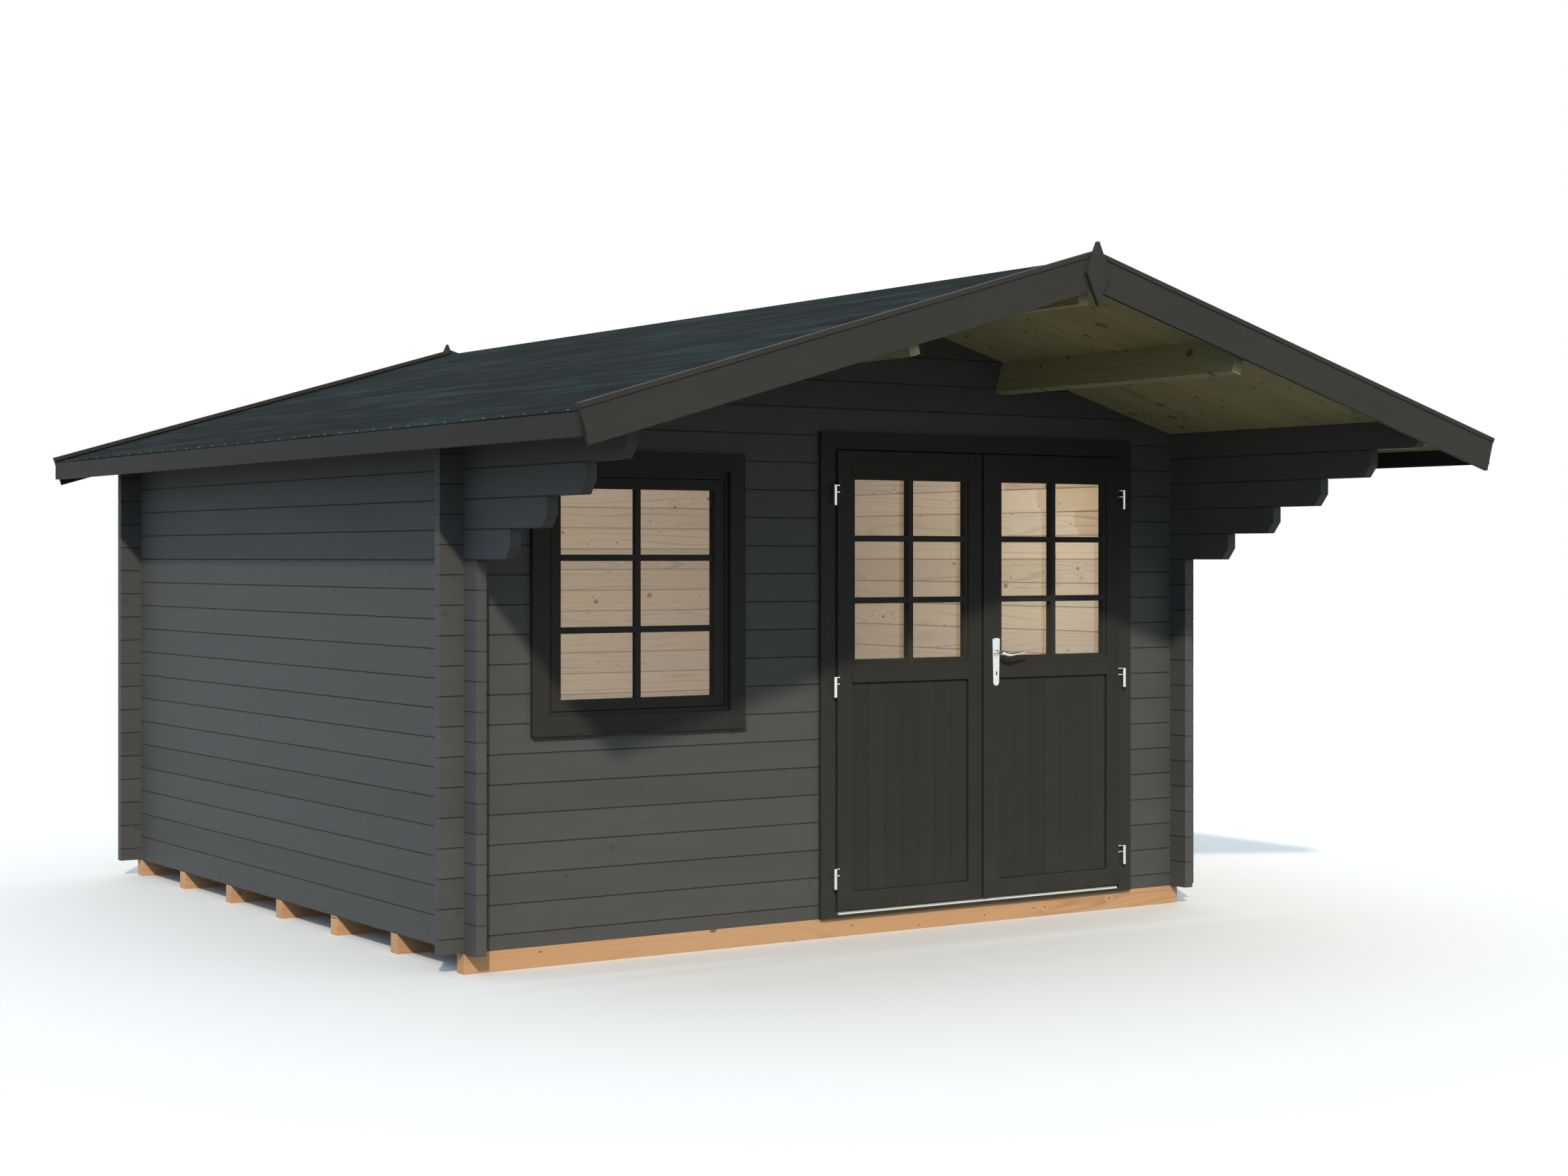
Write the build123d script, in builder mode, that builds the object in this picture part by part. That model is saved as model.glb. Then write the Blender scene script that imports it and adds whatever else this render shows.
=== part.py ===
from build123d import *

import os
from math import cos, radians, sin, tan

# Garden log cabin with a double glazed door and a window in its front gable wall.
# Millimetres. X runs to the right along the front, Y to the back, Z up, so the front faces -Y.
# The origin is the middle of the wall rectangle, on the underside of the middle bearer.

# Walls of stacked logs, crossed and notched at the four corners
cabin_width = 3600  # over the outer faces of the two side walls
cabin_depth = 3600  # over the outer faces of the front and rear walls
log_thick = 44
log_cover = 114  # height that one log adds to the wall
log_stub = 100  # how far each log runs on past the corner
side_courses = 18
groove = 3  # depth and half width of the V along each joint

# Stepped logs that carry the front of the roof
bracket_courses = 5
bracket_first = 376  # reach of the lowest one in front of the front wall
bracket_step = 281
bracket_chamfer_up = 50
bracket_chamfer_back = 40

# Under the walls
bearer_count = 7
bearer_width = 60
bearer_height = 80
floor_thick = 18
floor_gap = 5

# Roof
roof_pitch = 16.3  # degrees
front_overhang = 1510  # from the front wall's outer face to the edge of the roof boards
rear_overhang = 200
side_overhang = 328
board_thick = 18
felt_thick = 5
purlin_width = 45
purlin_depth = 135
purlin_offset = 806  # from the ridge to the middle of a side purlin's top face
purlin_setback = 52  # from the edge of the roof boards to a purlin's end
ridge_purlin_depth = 145
eave_board_thick = 20
eave_board_height = 80
barge_thick = 18
barge_depth = 122
barge_low = 98  # the barge boards' lower edge under the roof boards, at the ridge
barge_inset = 33  # from the eave board's outer face in to the barge boards' lower corners
cap_thick = 18
cap_lip = 4  # how far the cap stands in front of the barge board
cap_width = 34
finial_width = 112
finial_height = 235
finial_thick = 18
finial_tip = 6
finial_rise = 32  # tip above the caps

# Double door, both leaves opening outwards
door_x = 660  # middle of the doorway
door_inner_width = 1540  # between the jambs
door_inner_top = 1939  # above the wall's foot
casing_width = 72
casing_thick = 20
casing_lap = 25  # how far a casing covers the wall around its opening
jamb_depth = 64
lining_gap = 2  # between the lining and the logs
stop_width = 12
sill_height = 14
threshold_height = 12
threshold_lip = 4  # how far it stands in front of the casing
leaf_gap = 5
meeting_gap = 8  # between the leaves, part covered by the meeting strip
leaf_thick = 44
leaf_proud = 10  # leaves in front of the casing
meeting_shift = 12  # left leaf's end to the left of the doorway's middle
stile_outer = 73
opening_inner = 84  # from the doorway's middle to each leaf's opening
bottom_rail = 75
panel_top = 972  # above the wall's foot
glass_foot = 1050
top_rail = 102
bead_width = 17
bead_recess = 6
bar_width = 25
bar_recess = 10
glass_thick = 5
glass_back = 4  # from the glass to the leaf's back face
panel_recess = 8
panel_thick = 20
plank_count = 7
moulding_height = 40
moulding_proud = 5
strip_width = 30
strip_proud = 8
strip_chamfer = 2.5

# Hinges and handle
hinge_heights = (165, 956, 1749)  # above the wall's foot
hinge_length = 84
knuckle_radius = 8
hinge_pin_radius = 4
pin_clearance = 0.3
pin_short = 2  # the pin's length under the barrel's
pin_out = 10  # hinge axis in front of the leaves' front face
pin_side = 20  # hinge axis beyond the leaf's edge
strap_length = 27
strap_height = 4
plate_x = 63  # from the doorway's middle
plate_z = 1042
plate_width = 40  # at its top
plate_foot_width = 31
plate_height = 208
plate_arch = 5  # rise of its top edge
plate_thick = 6
plate_chamfer = 2
lever_z = 1081
lever_radius = 8
lever_clearance = 0.3
lever_stand = 48  # from the plate to the middle of the grip
lever_sections = ((0, 0, 8), (32, -8, 8), (60, -7, 6), (95, 0, 4.5), (128, 3, 3.5))  # along, up, radius
spindle_side = 8
spindle_hole = 8  # radius of its hole through the leaf
keyhole_z = 992
keyhole_height = 18
keyhole_width = 7

# Window in the front wall
window_x = -1035
window_foot = 803  # lower edge of the casing above the wall's foot
window_width = 968  # over the casings
window_height = 1104
window_casing = 72
sill_drip_height = 9
sill_drip_proud = 6
sash_side = 92  # from the casing's outer edge in to the sash
sash_low_margin = 94
sash_high_margin = 106
sash_gap = 3
sash_rail = 42
sash_thick = 44
sash_set_in = 2
sash_glass_in = 20
sash_bar_depth = 10

# Values worked out from the dimensions above
half_width = cabin_width / 2
half_depth = cabin_depth / 2
front_y = -half_depth
rear_y = half_depth
foot = bearer_height
side_top = foot + side_courses * log_cover
slope = tan(radians(roof_pitch))
upright = 1 / cos(radians(roof_pitch))  # height of a sloping board over its thickness
soffit_ridge = side_top + (half_width - log_thick) * slope
boards_half = half_width + side_overhang
eave_half = boards_half + eave_board_thick
barge_reach = eave_half - barge_inset
roof_front = front_y - front_overhang
roof_rear = rear_y + rear_overhang
stub_front = front_y - log_stub
stub_rear = rear_y + log_stub
stub_side = half_width + log_stub
gable_foot = foot + (side_courses - 0.5) * log_cover
notch = log_cover / 4

leaf_front = front_y - casing_thick - leaf_proud
leaf_back = leaf_front + leaf_thick
leaf_foot = foot + sill_height + threshold_height + leaf_gap
leaf_top = foot + door_inner_top - leaf_gap
leaf_edge = door_inner_width / 2 - leaf_gap
panel_foot = leaf_foot + bottom_rail
panel_head = foot + panel_top
left_leaf_end = door_x - meeting_shift
right_leaf_end = left_leaf_end + meeting_gap
strip_x = left_leaf_end + leaf_gap
opening_outer = leaf_edge - stile_outer
axis_y = leaf_front - pin_out
axis_side = leaf_edge + pin_side
door_half_wall = door_inner_width / 2 + casing_width - casing_lap
window_half_wall = window_width / 2 - casing_lap


def soffit(x):
    """Underside of the roof boards at this distance from the ridge."""
    return soffit_ridge - abs(x) * slope


def slab(x0, x1, y0, y1, z0, z1, mode=Mode.ADD):
    """Adds a block between these faces to the open part, or cuts it out."""
    with Locations(((x0 + x1) / 2, (y0 + y1) / 2, (z0 + z1) / 2)):
        Box(x1 - x0, y1 - y0, z1 - z0, mode=mode)


def along_y(points, y0, y1, mode=Mode.ADD):
    """Runs an outline of (x, z) points from y0 back to y1 in the open part."""
    with BuildSketch(Plane.XZ.offset(-y1)) as outline:
        with BuildLine():
            Polyline(*points, close=True)
        make_face()
    extrude(outline.sketch, amount=y1 - y0, mode=mode)


def along_x(points, x0, x1, mode=Mode.ADD):
    """Runs an outline of (y, z) points from x0 to x1 in the open part."""
    with BuildSketch(Plane.YZ.offset(x0)) as outline:
        with BuildLine():
            Polyline(*points, close=True)
        make_face()
    extrude(outline.sketch, amount=x1 - x0, mode=mode)


def ring(x0, x1, z0, z1, sides, foot_width, head_width, y0, y1):
    """Adds a rectangular frame around an opening, standing between y0 and y1."""
    slab(x0, x1, y0, y1, z0, z1)
    slab(x0 + sides, x1 - sides, y0, y1, z0 + foot_width, z1 - head_width, mode=Mode.SUBTRACT)


def finish(name, part):
    """Names a finished piece and writes it to its own file."""
    part.label = name
    export_step(part, os.path.join("parts", name + ".step"))


def crossing_bands():
    """Heights at a corner that belong to the front or rear wall's logs; the rest is the side wall's."""
    bands = [(foot, foot + notch)]
    for course in range(1, side_courses):
        joint = foot + course * log_cover
        bands.append((joint - notch, joint + notch))
    return bands


def side_wall(side):
    """A side wall of stacked logs: stubs past the corners, stepped bracket logs and a bevelled top."""
    outer = side * half_width
    inner = side * (half_width - log_thick)
    x0, x1 = sorted((outer, inner))
    top_course = side_courses - 1
    with BuildPart() as wall:
        slab(x0, x1, stub_front, stub_rear, foot, side_top + log_cover)
        for step in range(bracket_courses):
            course_foot = foot + (side_courses - bracket_courses + step) * log_cover
            reach = front_y - bracket_first - step * bracket_step
            slab(x0, x1, reach, stub_front, course_foot, course_foot + log_cover)
            corner = (
                (reach, course_foot),
                (reach + bracket_chamfer_back, course_foot),
                (reach, course_foot + bracket_chamfer_up),
            )
            along_x(corner, x0, x1, mode=Mode.SUBTRACT)
        slab(x0, x1, stub_rear, roof_rear - purlin_setback, foot + top_course * log_cover, side_top)
        above_roof = (
            (x0, soffit(x0)),
            (x1, soffit(x1)),
            (x1, side_top + 2 * log_cover),
            (x0, side_top + 2 * log_cover),
        )
        along_y(above_roof, roof_front, roof_rear, mode=Mode.SUBTRACT)
        for z0, z1 in crossing_bands():
            slab(x0, x1, front_y, front_y + log_thick, z0, z1, mode=Mode.SUBTRACT)
            slab(x0, x1, rear_y - log_thick, rear_y, z0, z1, mode=Mode.SUBTRACT)
        with BuildSketch(Plane.XZ.offset(-roof_rear)) as joints:
            for course in range(1, side_courses):
                with Locations((outer, foot + course * log_cover), (inner, foot + course * log_cover)):
                    RegularPolygon(groove, 4)
        extrude(joints.sketch, amount=roof_rear - roof_front, mode=Mode.SUBTRACT)
    return wall.part


def gable_wall(y0):
    """A front or rear wall of logs up to the roof boards, half a log out of step with the sides."""
    y1 = y0 + log_thick
    inside = half_width - log_thick
    with BuildPart() as wall:
        outline = (
            (-inside, foot),
            (inside, foot),
            (inside, soffit(inside)),
            (0, soffit_ridge),
            (-inside, soffit(inside)),
        )
        along_y(outline, y0, y1)
        for z0, z1 in crossing_bands():
            slab(-half_width, -inside, y0, y1, z0, z1)
            slab(inside, half_width, y0, y1, z0, z1)
        slab(-stub_side, -half_width, y0, y1, foot, gable_foot)
        slab(half_width, stub_side, y0, y1, foot, gable_foot)
        with BuildSketch(Plane.YZ.offset(-stub_side)) as joints:
            joint = foot + log_cover / 2
            while joint < soffit_ridge:
                with Locations((y0, joint), (y1, joint)):
                    RegularPolygon(groove, 4)
                joint += log_cover
        extrude(joints.sketch, amount=2 * stub_side, mode=Mode.SUBTRACT)
        for purlin in purlins:
            add(purlin, mode=Mode.SUBTRACT)
    return wall.part


def side_purlin(side):
    """A purlin set square to the roof boards that it carries."""
    run = cos(radians(roof_pitch))
    drop = sin(radians(roof_pitch))
    top_in = purlin_offset - run * purlin_width / 2
    top_out = purlin_offset + run * purlin_width / 2
    low = (-purlin_depth * drop, -purlin_depth * run)
    section = (
        (side * top_in, soffit(top_in)),
        (side * top_out, soffit(top_out)),
        (side * (top_out + low[0]), soffit(top_out) + low[1]),
        (side * (top_in + low[0]), soffit(top_in) + low[1]),
    )
    with BuildPart() as purlin:
        along_y(section, roof_front + purlin_setback, roof_rear - purlin_setback)
    return purlin.part


def roof_layer(side, lift, thick, reach):
    """Section of a layer from the ridge to an upright edge, lift above the roof boards' underside."""
    low = lift * upright
    high = (lift + thick) * upright
    return (
        (0, soffit_ridge + low),
        (side * reach, soffit(reach) + low),
        (side * reach, soffit(reach) + high),
        (0, soffit_ridge + high),
    )


def barge_outline(low, high, side, reach):
    """A board along the roof's edge between two heights at the ridge, cut square at its lower end."""
    depth = (high - low) / upright
    lower_z = low - reach * slope
    top_x = reach + depth * sin(radians(roof_pitch))
    return (
        (0, low),
        (side * reach, lower_z),
        (side * top_x, high - top_x * slope),
        (0, high),
    )


os.makedirs("parts", exist_ok=True)

# Bearers under the walls and the floor, one solid each
with BuildPart() as bearers:
    pitch = (cabin_depth - bearer_width) / (bearer_count - 1)
    with Locations((0, 0, bearer_height / 2)):
        with GridLocations(0, pitch, 1, bearer_count):
            Box(cabin_width, bearer_width, bearer_height)
finish("bearers", bearers.part)

# Floor boards between the walls, let in around the door frame
with BuildPart() as floor_boards:
    edge_x = half_width - log_thick - floor_gap
    edge_y = half_depth - log_thick - floor_gap
    slab(-edge_x, edge_x, -edge_y, edge_y, foot, foot + floor_thick)
    frame_half = door_half_wall + casing_lap + floor_gap
    frame_back = front_y + jamb_depth + floor_gap
    slab(door_x - frame_half, door_x + frame_half, front_y, frame_back, 0, side_top, mode=Mode.SUBTRACT)
finish("floor_boards", floor_boards.part)

# Purlins: one under the ridge and one half way down each slope
with BuildPart() as ridge_purlin:
    half_purlin = purlin_width / 2
    ridge_section = (
        (-half_purlin, soffit_ridge - ridge_purlin_depth),
        (half_purlin, soffit_ridge - ridge_purlin_depth),
        (half_purlin, soffit(half_purlin)),
        (0, soffit_ridge),
        (-half_purlin, soffit(half_purlin)),
    )
    along_y(ridge_section, roof_front + purlin_setback, roof_rear - purlin_setback)
left_purlin = side_purlin(-1)
right_purlin = side_purlin(1)
purlins = (ridge_purlin.part, left_purlin, right_purlin)
finish("ridge_purlin", ridge_purlin.part)
finish("left_purlin", left_purlin)
finish("right_purlin", right_purlin)

# Log walls
finish("left_wall", side_wall(-1))
finish("right_wall", side_wall(1))
finish("rear_wall", gable_wall(rear_y - log_thick))
front_wall = gable_wall(front_y)

with BuildPart() as front_gable:
    add(front_wall)
    slab(-stub_side, stub_side, front_y, rear_y, gable_foot, soffit_ridge, mode=Mode.INTERSECT)
finish("front_gable", front_gable.part)

with BuildPart() as front_wall_left:
    add(front_wall)
    slab(-stub_side, door_x - door_half_wall, front_y, 0, foot, gable_foot, mode=Mode.INTERSECT)
    slab(
        window_x - window_half_wall,
        window_x + window_half_wall,
        front_y,
        0,
        foot + window_foot + casing_lap,
        foot + window_foot + window_height - casing_lap,
        mode=Mode.SUBTRACT,
    )
finish("front_wall_left", front_wall_left.part)

with BuildPart() as front_wall_right:
    add(front_wall)
    slab(door_x + door_half_wall, stub_side, front_y, 0, foot, gable_foot, mode=Mode.INTERSECT)
finish("front_wall_right", front_wall_right.part)

# Roof boards, felt and eave boards
for side, name in ((-1, "left"), (1, "right")):
    with BuildPart() as roof_boards:
        along_y(roof_layer(side, 0, board_thick, boards_half), roof_front, roof_rear)
    finish(name + "_roof_boards", roof_boards.part)
    with BuildPart() as eave_board:
        top_in = soffit(boards_half) + board_thick * upright
        top_out = soffit(eave_half) + board_thick * upright
        eave_section = (
            (side * boards_half, top_out - eave_board_height),
            (side * eave_half, top_out - eave_board_height),
            (side * eave_half, top_out),
            (side * boards_half, top_in),
        )
        along_y(eave_section, roof_front, roof_rear)
    finish(name + "_eave_board", eave_board.part)

with BuildPart() as roofing_felt:
    for side in (-1, 1):
        along_y(roof_layer(side, board_thick, felt_thick, eave_half), roof_front, roof_rear)
finish("roofing_felt", roofing_felt.part)

# Barge boards, their caps and a pointed finial at each end of the roof
barge_foot = soffit_ridge - barge_low
barge_top = barge_foot + barge_depth * upright
cap_top = barge_top + cap_thick * upright
cap_reach = barge_reach + barge_depth * sin(radians(roof_pitch))
for end, edge, outwards in (("front", roof_front, -1), ("rear", roof_rear, 1)):
    face = edge + outwards * barge_thick
    with BuildPart() as finial:
        tip = cap_top + finial_rise
        middle = tip - finial_height / 2
        diamond = (
            (-finial_tip / 2, tip),
            (-finial_width / 2, middle),
            (0, tip - finial_height),
            (finial_width / 2, middle),
            (finial_tip / 2, tip),
        )
        along_y(diamond, *sorted((face, face + outwards * finial_thick)))
    finish(end + "_finial", finial.part)
    for side, name in ((-1, "left"), (1, "right")):
        with BuildPart() as barge:
            along_y(barge_outline(barge_foot, barge_top, side, barge_reach), *sorted((edge, face)))
        finish(f"{end}_{name}_barge_board", barge.part)
    with BuildPart() as caps:
        lip = face + outwards * cap_lip
        for side in (-1, 1):
            cap = barge_outline(barge_top, cap_top, side, cap_reach)
            along_y(cap, *sorted((lip, lip - outwards * cap_width)))
        add(finial.part, mode=Mode.SUBTRACT)
    finish(end + "_barge_caps", caps.part)

# Door frame: casing outside, jambs through the wall, a stop behind the leaves and a sill
with BuildPart() as door_frame:
    doorway_half = door_inner_width / 2
    casing_half = doorway_half + casing_width
    lining = door_half_wall - lining_gap
    frame_back = front_y + jamb_depth
    head = foot + door_inner_top
    stop_front = leaf_back + leaf_gap
    casing_top = head + casing_width
    slab(door_x - casing_half, door_x + casing_half, front_y - casing_thick, front_y, foot, casing_top)
    slab(door_x - lining, door_x + lining, front_y, frame_back, foot, gable_foot - leaf_gap)
    slab(
        door_x - casing_half,
        door_x + casing_half,
        front_y + log_thick,
        frame_back,
        foot,
        casing_top,
    )
    slab(
        door_x - doorway_half + stop_width,
        door_x + doorway_half - stop_width,
        front_y - casing_thick,
        frame_back,
        foot + sill_height,
        head - stop_width,
        mode=Mode.SUBTRACT,
    )
    slab(
        door_x - doorway_half,
        door_x + doorway_half,
        front_y - casing_thick,
        stop_front,
        foot + sill_height,
        head,
        mode=Mode.SUBTRACT,
    )
finish("door_frame", door_frame.part)

with BuildPart() as door_threshold:
    slab(
        door_x - doorway_half + stop_width,
        door_x + doorway_half - stop_width,
        front_y - casing_thick - threshold_lip,
        frame_back,
        foot + sill_height,
        foot + sill_height + threshold_height,
    )
    ends = door_threshold.edges().filter_by(Axis.X).group_by(Axis.Z)[-1]
    chamfer(ends.sort_by(Axis.Y)[0], threshold_height / 2)
finish("door_threshold", door_threshold.part)


def leaf_frame(x_outer, x_meet, side):
    """Stiles and rails of a leaf, with the beads and bars around its panes."""
    x0, x1 = sorted((x_outer, x_meet))
    open0, open1 = sorted((door_x + side * opening_inner, door_x + side * opening_outer))
    pane_foot = foot + glass_foot
    pane_top = leaf_top - top_rail
    pane_front = leaf_back - glass_back - glass_thick
    pane_rear = leaf_back - glass_back
    with BuildPart() as frame:
        slab(x0, x1, leaf_front, leaf_back, leaf_foot, leaf_top)
        slab(open0, open1, leaf_front, leaf_back, panel_foot, panel_head, mode=Mode.SUBTRACT)
        slab(open0, open1, leaf_front, leaf_back, pane_foot, pane_top, mode=Mode.SUBTRACT)
        for y0, y1 in ((leaf_front + bead_recess, pane_front), (pane_rear, leaf_back)):
            ring(open0, open1, pane_foot, pane_top, bead_width, bead_width, bead_width, y0, y1)
        middle = (open0 + open1) / 2
        rows = (pane_top - pane_foot - 2 * bead_width + bar_width) / 3
        for y0, y1 in ((leaf_front + bar_recess, pane_front), (pane_rear, leaf_back)):
            slab(middle - bar_width / 2, middle + bar_width / 2, y0, y1, pane_foot, pane_top)
            for row in (1, 2):
                bar_foot = pane_foot + bead_width + row * rows - bar_width
                slab(open0, open1, y0, y1, bar_foot, bar_foot + bar_width)
        moulding_top = panel_head + moulding_height
        slab(open0, open1, leaf_front - moulding_proud, leaf_front, panel_head, moulding_top)
    return frame.part


def leaf_glass(side):
    """One sheet of glass behind a leaf's bars."""
    open0, open1 = sorted((door_x + side * opening_inner, door_x + side * opening_outer))
    pane_rear = leaf_back - glass_back
    with BuildPart() as glass:
        slab(open0, open1, pane_rear - glass_thick, pane_rear, foot + glass_foot, leaf_top - top_rail)
    return glass.part


def leaf_panel(side):
    """Upright tongued planks in the lower part of a leaf."""
    open0, open1 = sorted((door_x + side * opening_inner, door_x + side * opening_outer))
    y0 = leaf_front + panel_recess
    plank = (open1 - open0) / plank_count
    with BuildPart() as panel:
        slab(open0, open1, y0, y0 + panel_thick, panel_foot, panel_head)
        with BuildSketch(Plane.XY.offset(leaf_foot)) as joints:
            for index in range(1, plank_count):
                with Locations((open0 + index * plank, y0), (open0 + index * plank, y0 + panel_thick)):
                    RegularPolygon(groove, 4)
        extrude(joints.sketch, amount=leaf_top - leaf_foot, mode=Mode.SUBTRACT)
        foot_joint = ((y0, panel_foot), (y0 + groove, panel_foot), (y0, panel_foot + groove))
        along_x(foot_joint, open0, open1, mode=Mode.SUBTRACT)
    return panel.part


# Leaves, with the hole for the handle's spindle and the keyhole in the right one
finish("left_leaf_frame", leaf_frame(door_x - leaf_edge, left_leaf_end, -1))
finish("left_leaf_glass", leaf_glass(-1))
finish("left_leaf_panel", leaf_panel(-1))
handle_x = door_x + plate_x
with BuildPart() as right_leaf_frame:
    add(leaf_frame(door_x + leaf_edge, right_leaf_end, 1))
    with Locations(Plane((handle_x, leaf_front, foot + lever_z), z_dir=(0, -1, 0))):
        Hole(spindle_hole)
finish("right_leaf_frame", right_leaf_frame.part)
finish("right_leaf_glass", leaf_glass(1))
finish("right_leaf_panel", leaf_panel(1))

with BuildPart() as meeting_strip:
    slab(strip_x, strip_x + strip_width, leaf_front - strip_proud, leaf_front, leaf_foot, leaf_top)
    front_edges = meeting_strip.faces().sort_by(Axis.Y)[0].edges().filter_by(Axis.Z)
    chamfer(front_edges, strip_chamfer)
finish("meeting_strip", meeting_strip.part)

# Hinges: an upper knuckle with two straps on the leaf, a lower one with its pin on the frame
for side, name in ((-1, "left"), (1, "right")):
    axis_x = door_x + side * axis_side
    strap_end = axis_x - side * strap_length
    with BuildPart() as leaf_hinges:
        for height in hinge_heights:
            middle_z = foot + height
            with Locations((axis_x, axis_y, middle_z + hinge_length / 4)):
                Cylinder(knuckle_radius, hinge_length / 2)
            for strap_foot in (middle_z + hinge_length / 8, middle_z + hinge_length / 2 - strap_height):
                strap0, strap1 = sorted((axis_x, strap_end))
                strap_back = leaf_front - hinge_pin_radius
                slab(strap0, strap1, strap_back, leaf_front, strap_foot, strap_foot + strap_height)
            with Locations((axis_x, axis_y, middle_z + hinge_length / 4)):
                Cylinder(hinge_pin_radius + pin_clearance, hinge_length / 2, mode=Mode.SUBTRACT)
    finish(name + "_leaf_hinges", leaf_hinges.part)

with BuildPart() as frame_hinges:
    for side in (-1, 1):
        axis_x = door_x + side * axis_side
        for height in hinge_heights:
            middle_z = foot + height
            with Locations((axis_x, axis_y, middle_z - pin_clearance / 2 - hinge_length / 4)):
                Cylinder(knuckle_radius, hinge_length / 2 - pin_clearance)
            with Locations((axis_x, axis_y, middle_z)):
                Cylinder(hinge_pin_radius, hinge_length - pin_short)
            for stem_z in (middle_z - hinge_length / 2 + strap_height, middle_z - hinge_length / 8):
                stem = Plane((axis_x, front_y - casing_thick, stem_z), z_dir=(0, -1, 0))
                with BuildSketch(stem) as stem_section:
                    Circle(hinge_pin_radius)
                extrude(stem_section.sketch, amount=front_y - casing_thick - axis_y)
finish("frame_hinges", frame_hinges.part)

# Handle: a long plate on each face of the right leaf and a pair of levers on one spindle
with BuildPart() as handle_plates:
    for plate_y, outwards in ((leaf_front, -1), (leaf_back, 1)):
        plate_plane = Plane((handle_x, plate_y, foot + plate_z), x_dir=(0, 0, 1), z_dir=(0, outwards, 0))
        top = plate_height / 2
        top_half = plate_width / 2
        foot_half = plate_foot_width / 2
        with BuildSketch(plate_plane) as plate_outline:
            with BuildLine():
                Line((foot_half - top, -foot_half), (top - plate_arch, -top_half))
                ThreePointArc((top - plate_arch, -top_half), (top, 0), (top - plate_arch, top_half))
                Line((top - plate_arch, top_half), (foot_half - top, foot_half))
                ThreePointArc((foot_half - top, foot_half), (-top, 0), (foot_half - top, -foot_half))
            make_face()
            with Locations((lever_z - plate_z, 0)):
                Circle(lever_radius + lever_clearance, mode=Mode.SUBTRACT)
            with Locations((keyhole_z - plate_z, 0)):
                SlotOverall(keyhole_height, keyhole_width, mode=Mode.SUBTRACT)
        extrude(plate_outline.sketch, amount=plate_thick)
    rims = handle_plates.faces().sort_by(Axis.Y)
    for rim in (rims[0], rims[-1]):
        chamfer(rim.outer_wire().edges(), plate_chamfer)
finish("handle_plates", handle_plates.part)

with BuildPart() as handle_lever:
    axis_z = foot + lever_z
    for leaf_face, outwards in ((leaf_front, -1), (leaf_back, 1)):
        root_y = leaf_face + outwards * lever_clearance
        grip_y = leaf_face + outwards * (plate_thick + lever_stand)
        with BuildSketch(Plane((handle_x, root_y, axis_z), z_dir=(0, outwards, 0))):
            Circle(lever_radius)
        extrude(amount=abs(grip_y - root_y))
        for along, up, radius in lever_sections:
            with BuildSketch(Plane((handle_x + along, grip_y, axis_z + up), z_dir=(1, 0, 0))):
                Circle(radius)
        loft()
        for along, up, radius in (lever_sections[0], lever_sections[-1]):
            with Locations((handle_x + along, grip_y, axis_z + up)):
                Sphere(radius)
    spindle_half = spindle_side / 2
    slab(
        handle_x - spindle_half,
        handle_x + spindle_half,
        leaf_front - plate_thick,
        leaf_back + plate_thick,
        axis_z - spindle_half,
        axis_z + spindle_half,
    )
finish("handle_lever", handle_lever.part)

# Window: a frame through the wall, a casing outside, a sash with bars and one sheet of glass
window_left = window_x - window_width / 2
window_right = window_x + window_width / 2
window_low = foot + window_foot
window_high = window_low + window_height
sash_half_width = window_width / 2 - sash_side
sash_low = window_low + sash_low_margin
sash_high = window_high - sash_high_margin
sash_front = front_y + sash_set_in
sash_back = sash_front + sash_thick
pane_front = sash_front + sash_glass_in
pane_rear = pane_front + glass_thick
light_half = sash_half_width - sash_rail
light_low = sash_low + sash_rail
light_high = sash_high - sash_rail

with BuildPart() as window_trim:
    ring(
        window_left,
        window_right,
        window_low,
        window_high,
        window_casing,
        window_casing,
        window_casing,
        front_y - casing_thick,
        front_y,
    )
    drip_front = front_y - casing_thick - sill_drip_proud
    slab(window_left, window_right, drip_front, front_y, window_low, window_low + sill_drip_height)
finish("window_trim", window_trim.part)

with BuildPart() as window_frame:
    slab(
        window_x - window_half_wall,
        window_x + window_half_wall,
        front_y,
        front_y + log_thick,
        window_low + casing_lap,
        window_high - casing_lap,
    )
    slab(
        window_left,
        window_right,
        front_y + log_thick,
        front_y + jamb_depth,
        window_low,
        window_high,
    )
    for clear, y0, y1 in ((sash_gap, front_y, sash_back), (-stop_width, sash_back, front_y + jamb_depth)):
        hole_half = sash_half_width + clear
        slab(
            window_x - hole_half,
            window_x + hole_half,
            y0,
            y1,
            sash_low - clear,
            sash_high + clear,
            mode=Mode.SUBTRACT,
        )
finish("window_frame", window_frame.part)

with BuildPart() as window_sash:
    ring(
        window_x - sash_half_width,
        window_x + sash_half_width,
        sash_low,
        sash_high,
        sash_rail,
        sash_rail,
        sash_rail,
        sash_front,
        sash_back,
    )
    rows = (light_high - light_low + bar_width) / 3
    bar_half = bar_width / 2
    for y0, y1 in ((pane_front - sash_bar_depth, pane_front), (pane_rear, pane_rear + sash_bar_depth)):
        slab(window_x - bar_half, window_x + bar_half, y0, y1, light_low, light_high)
        for row in (1, 2):
            bar_foot = light_low + row * rows - bar_width
            slab(window_x - light_half, window_x + light_half, y0, y1, bar_foot, bar_foot + bar_width)
finish("window_sash", window_sash.part)

with BuildPart() as window_glass:
    slab(window_x - light_half, window_x + light_half, pane_front, pane_rear, light_low, light_high)
finish("window_glass", window_glass.part)
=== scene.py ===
import math

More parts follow.
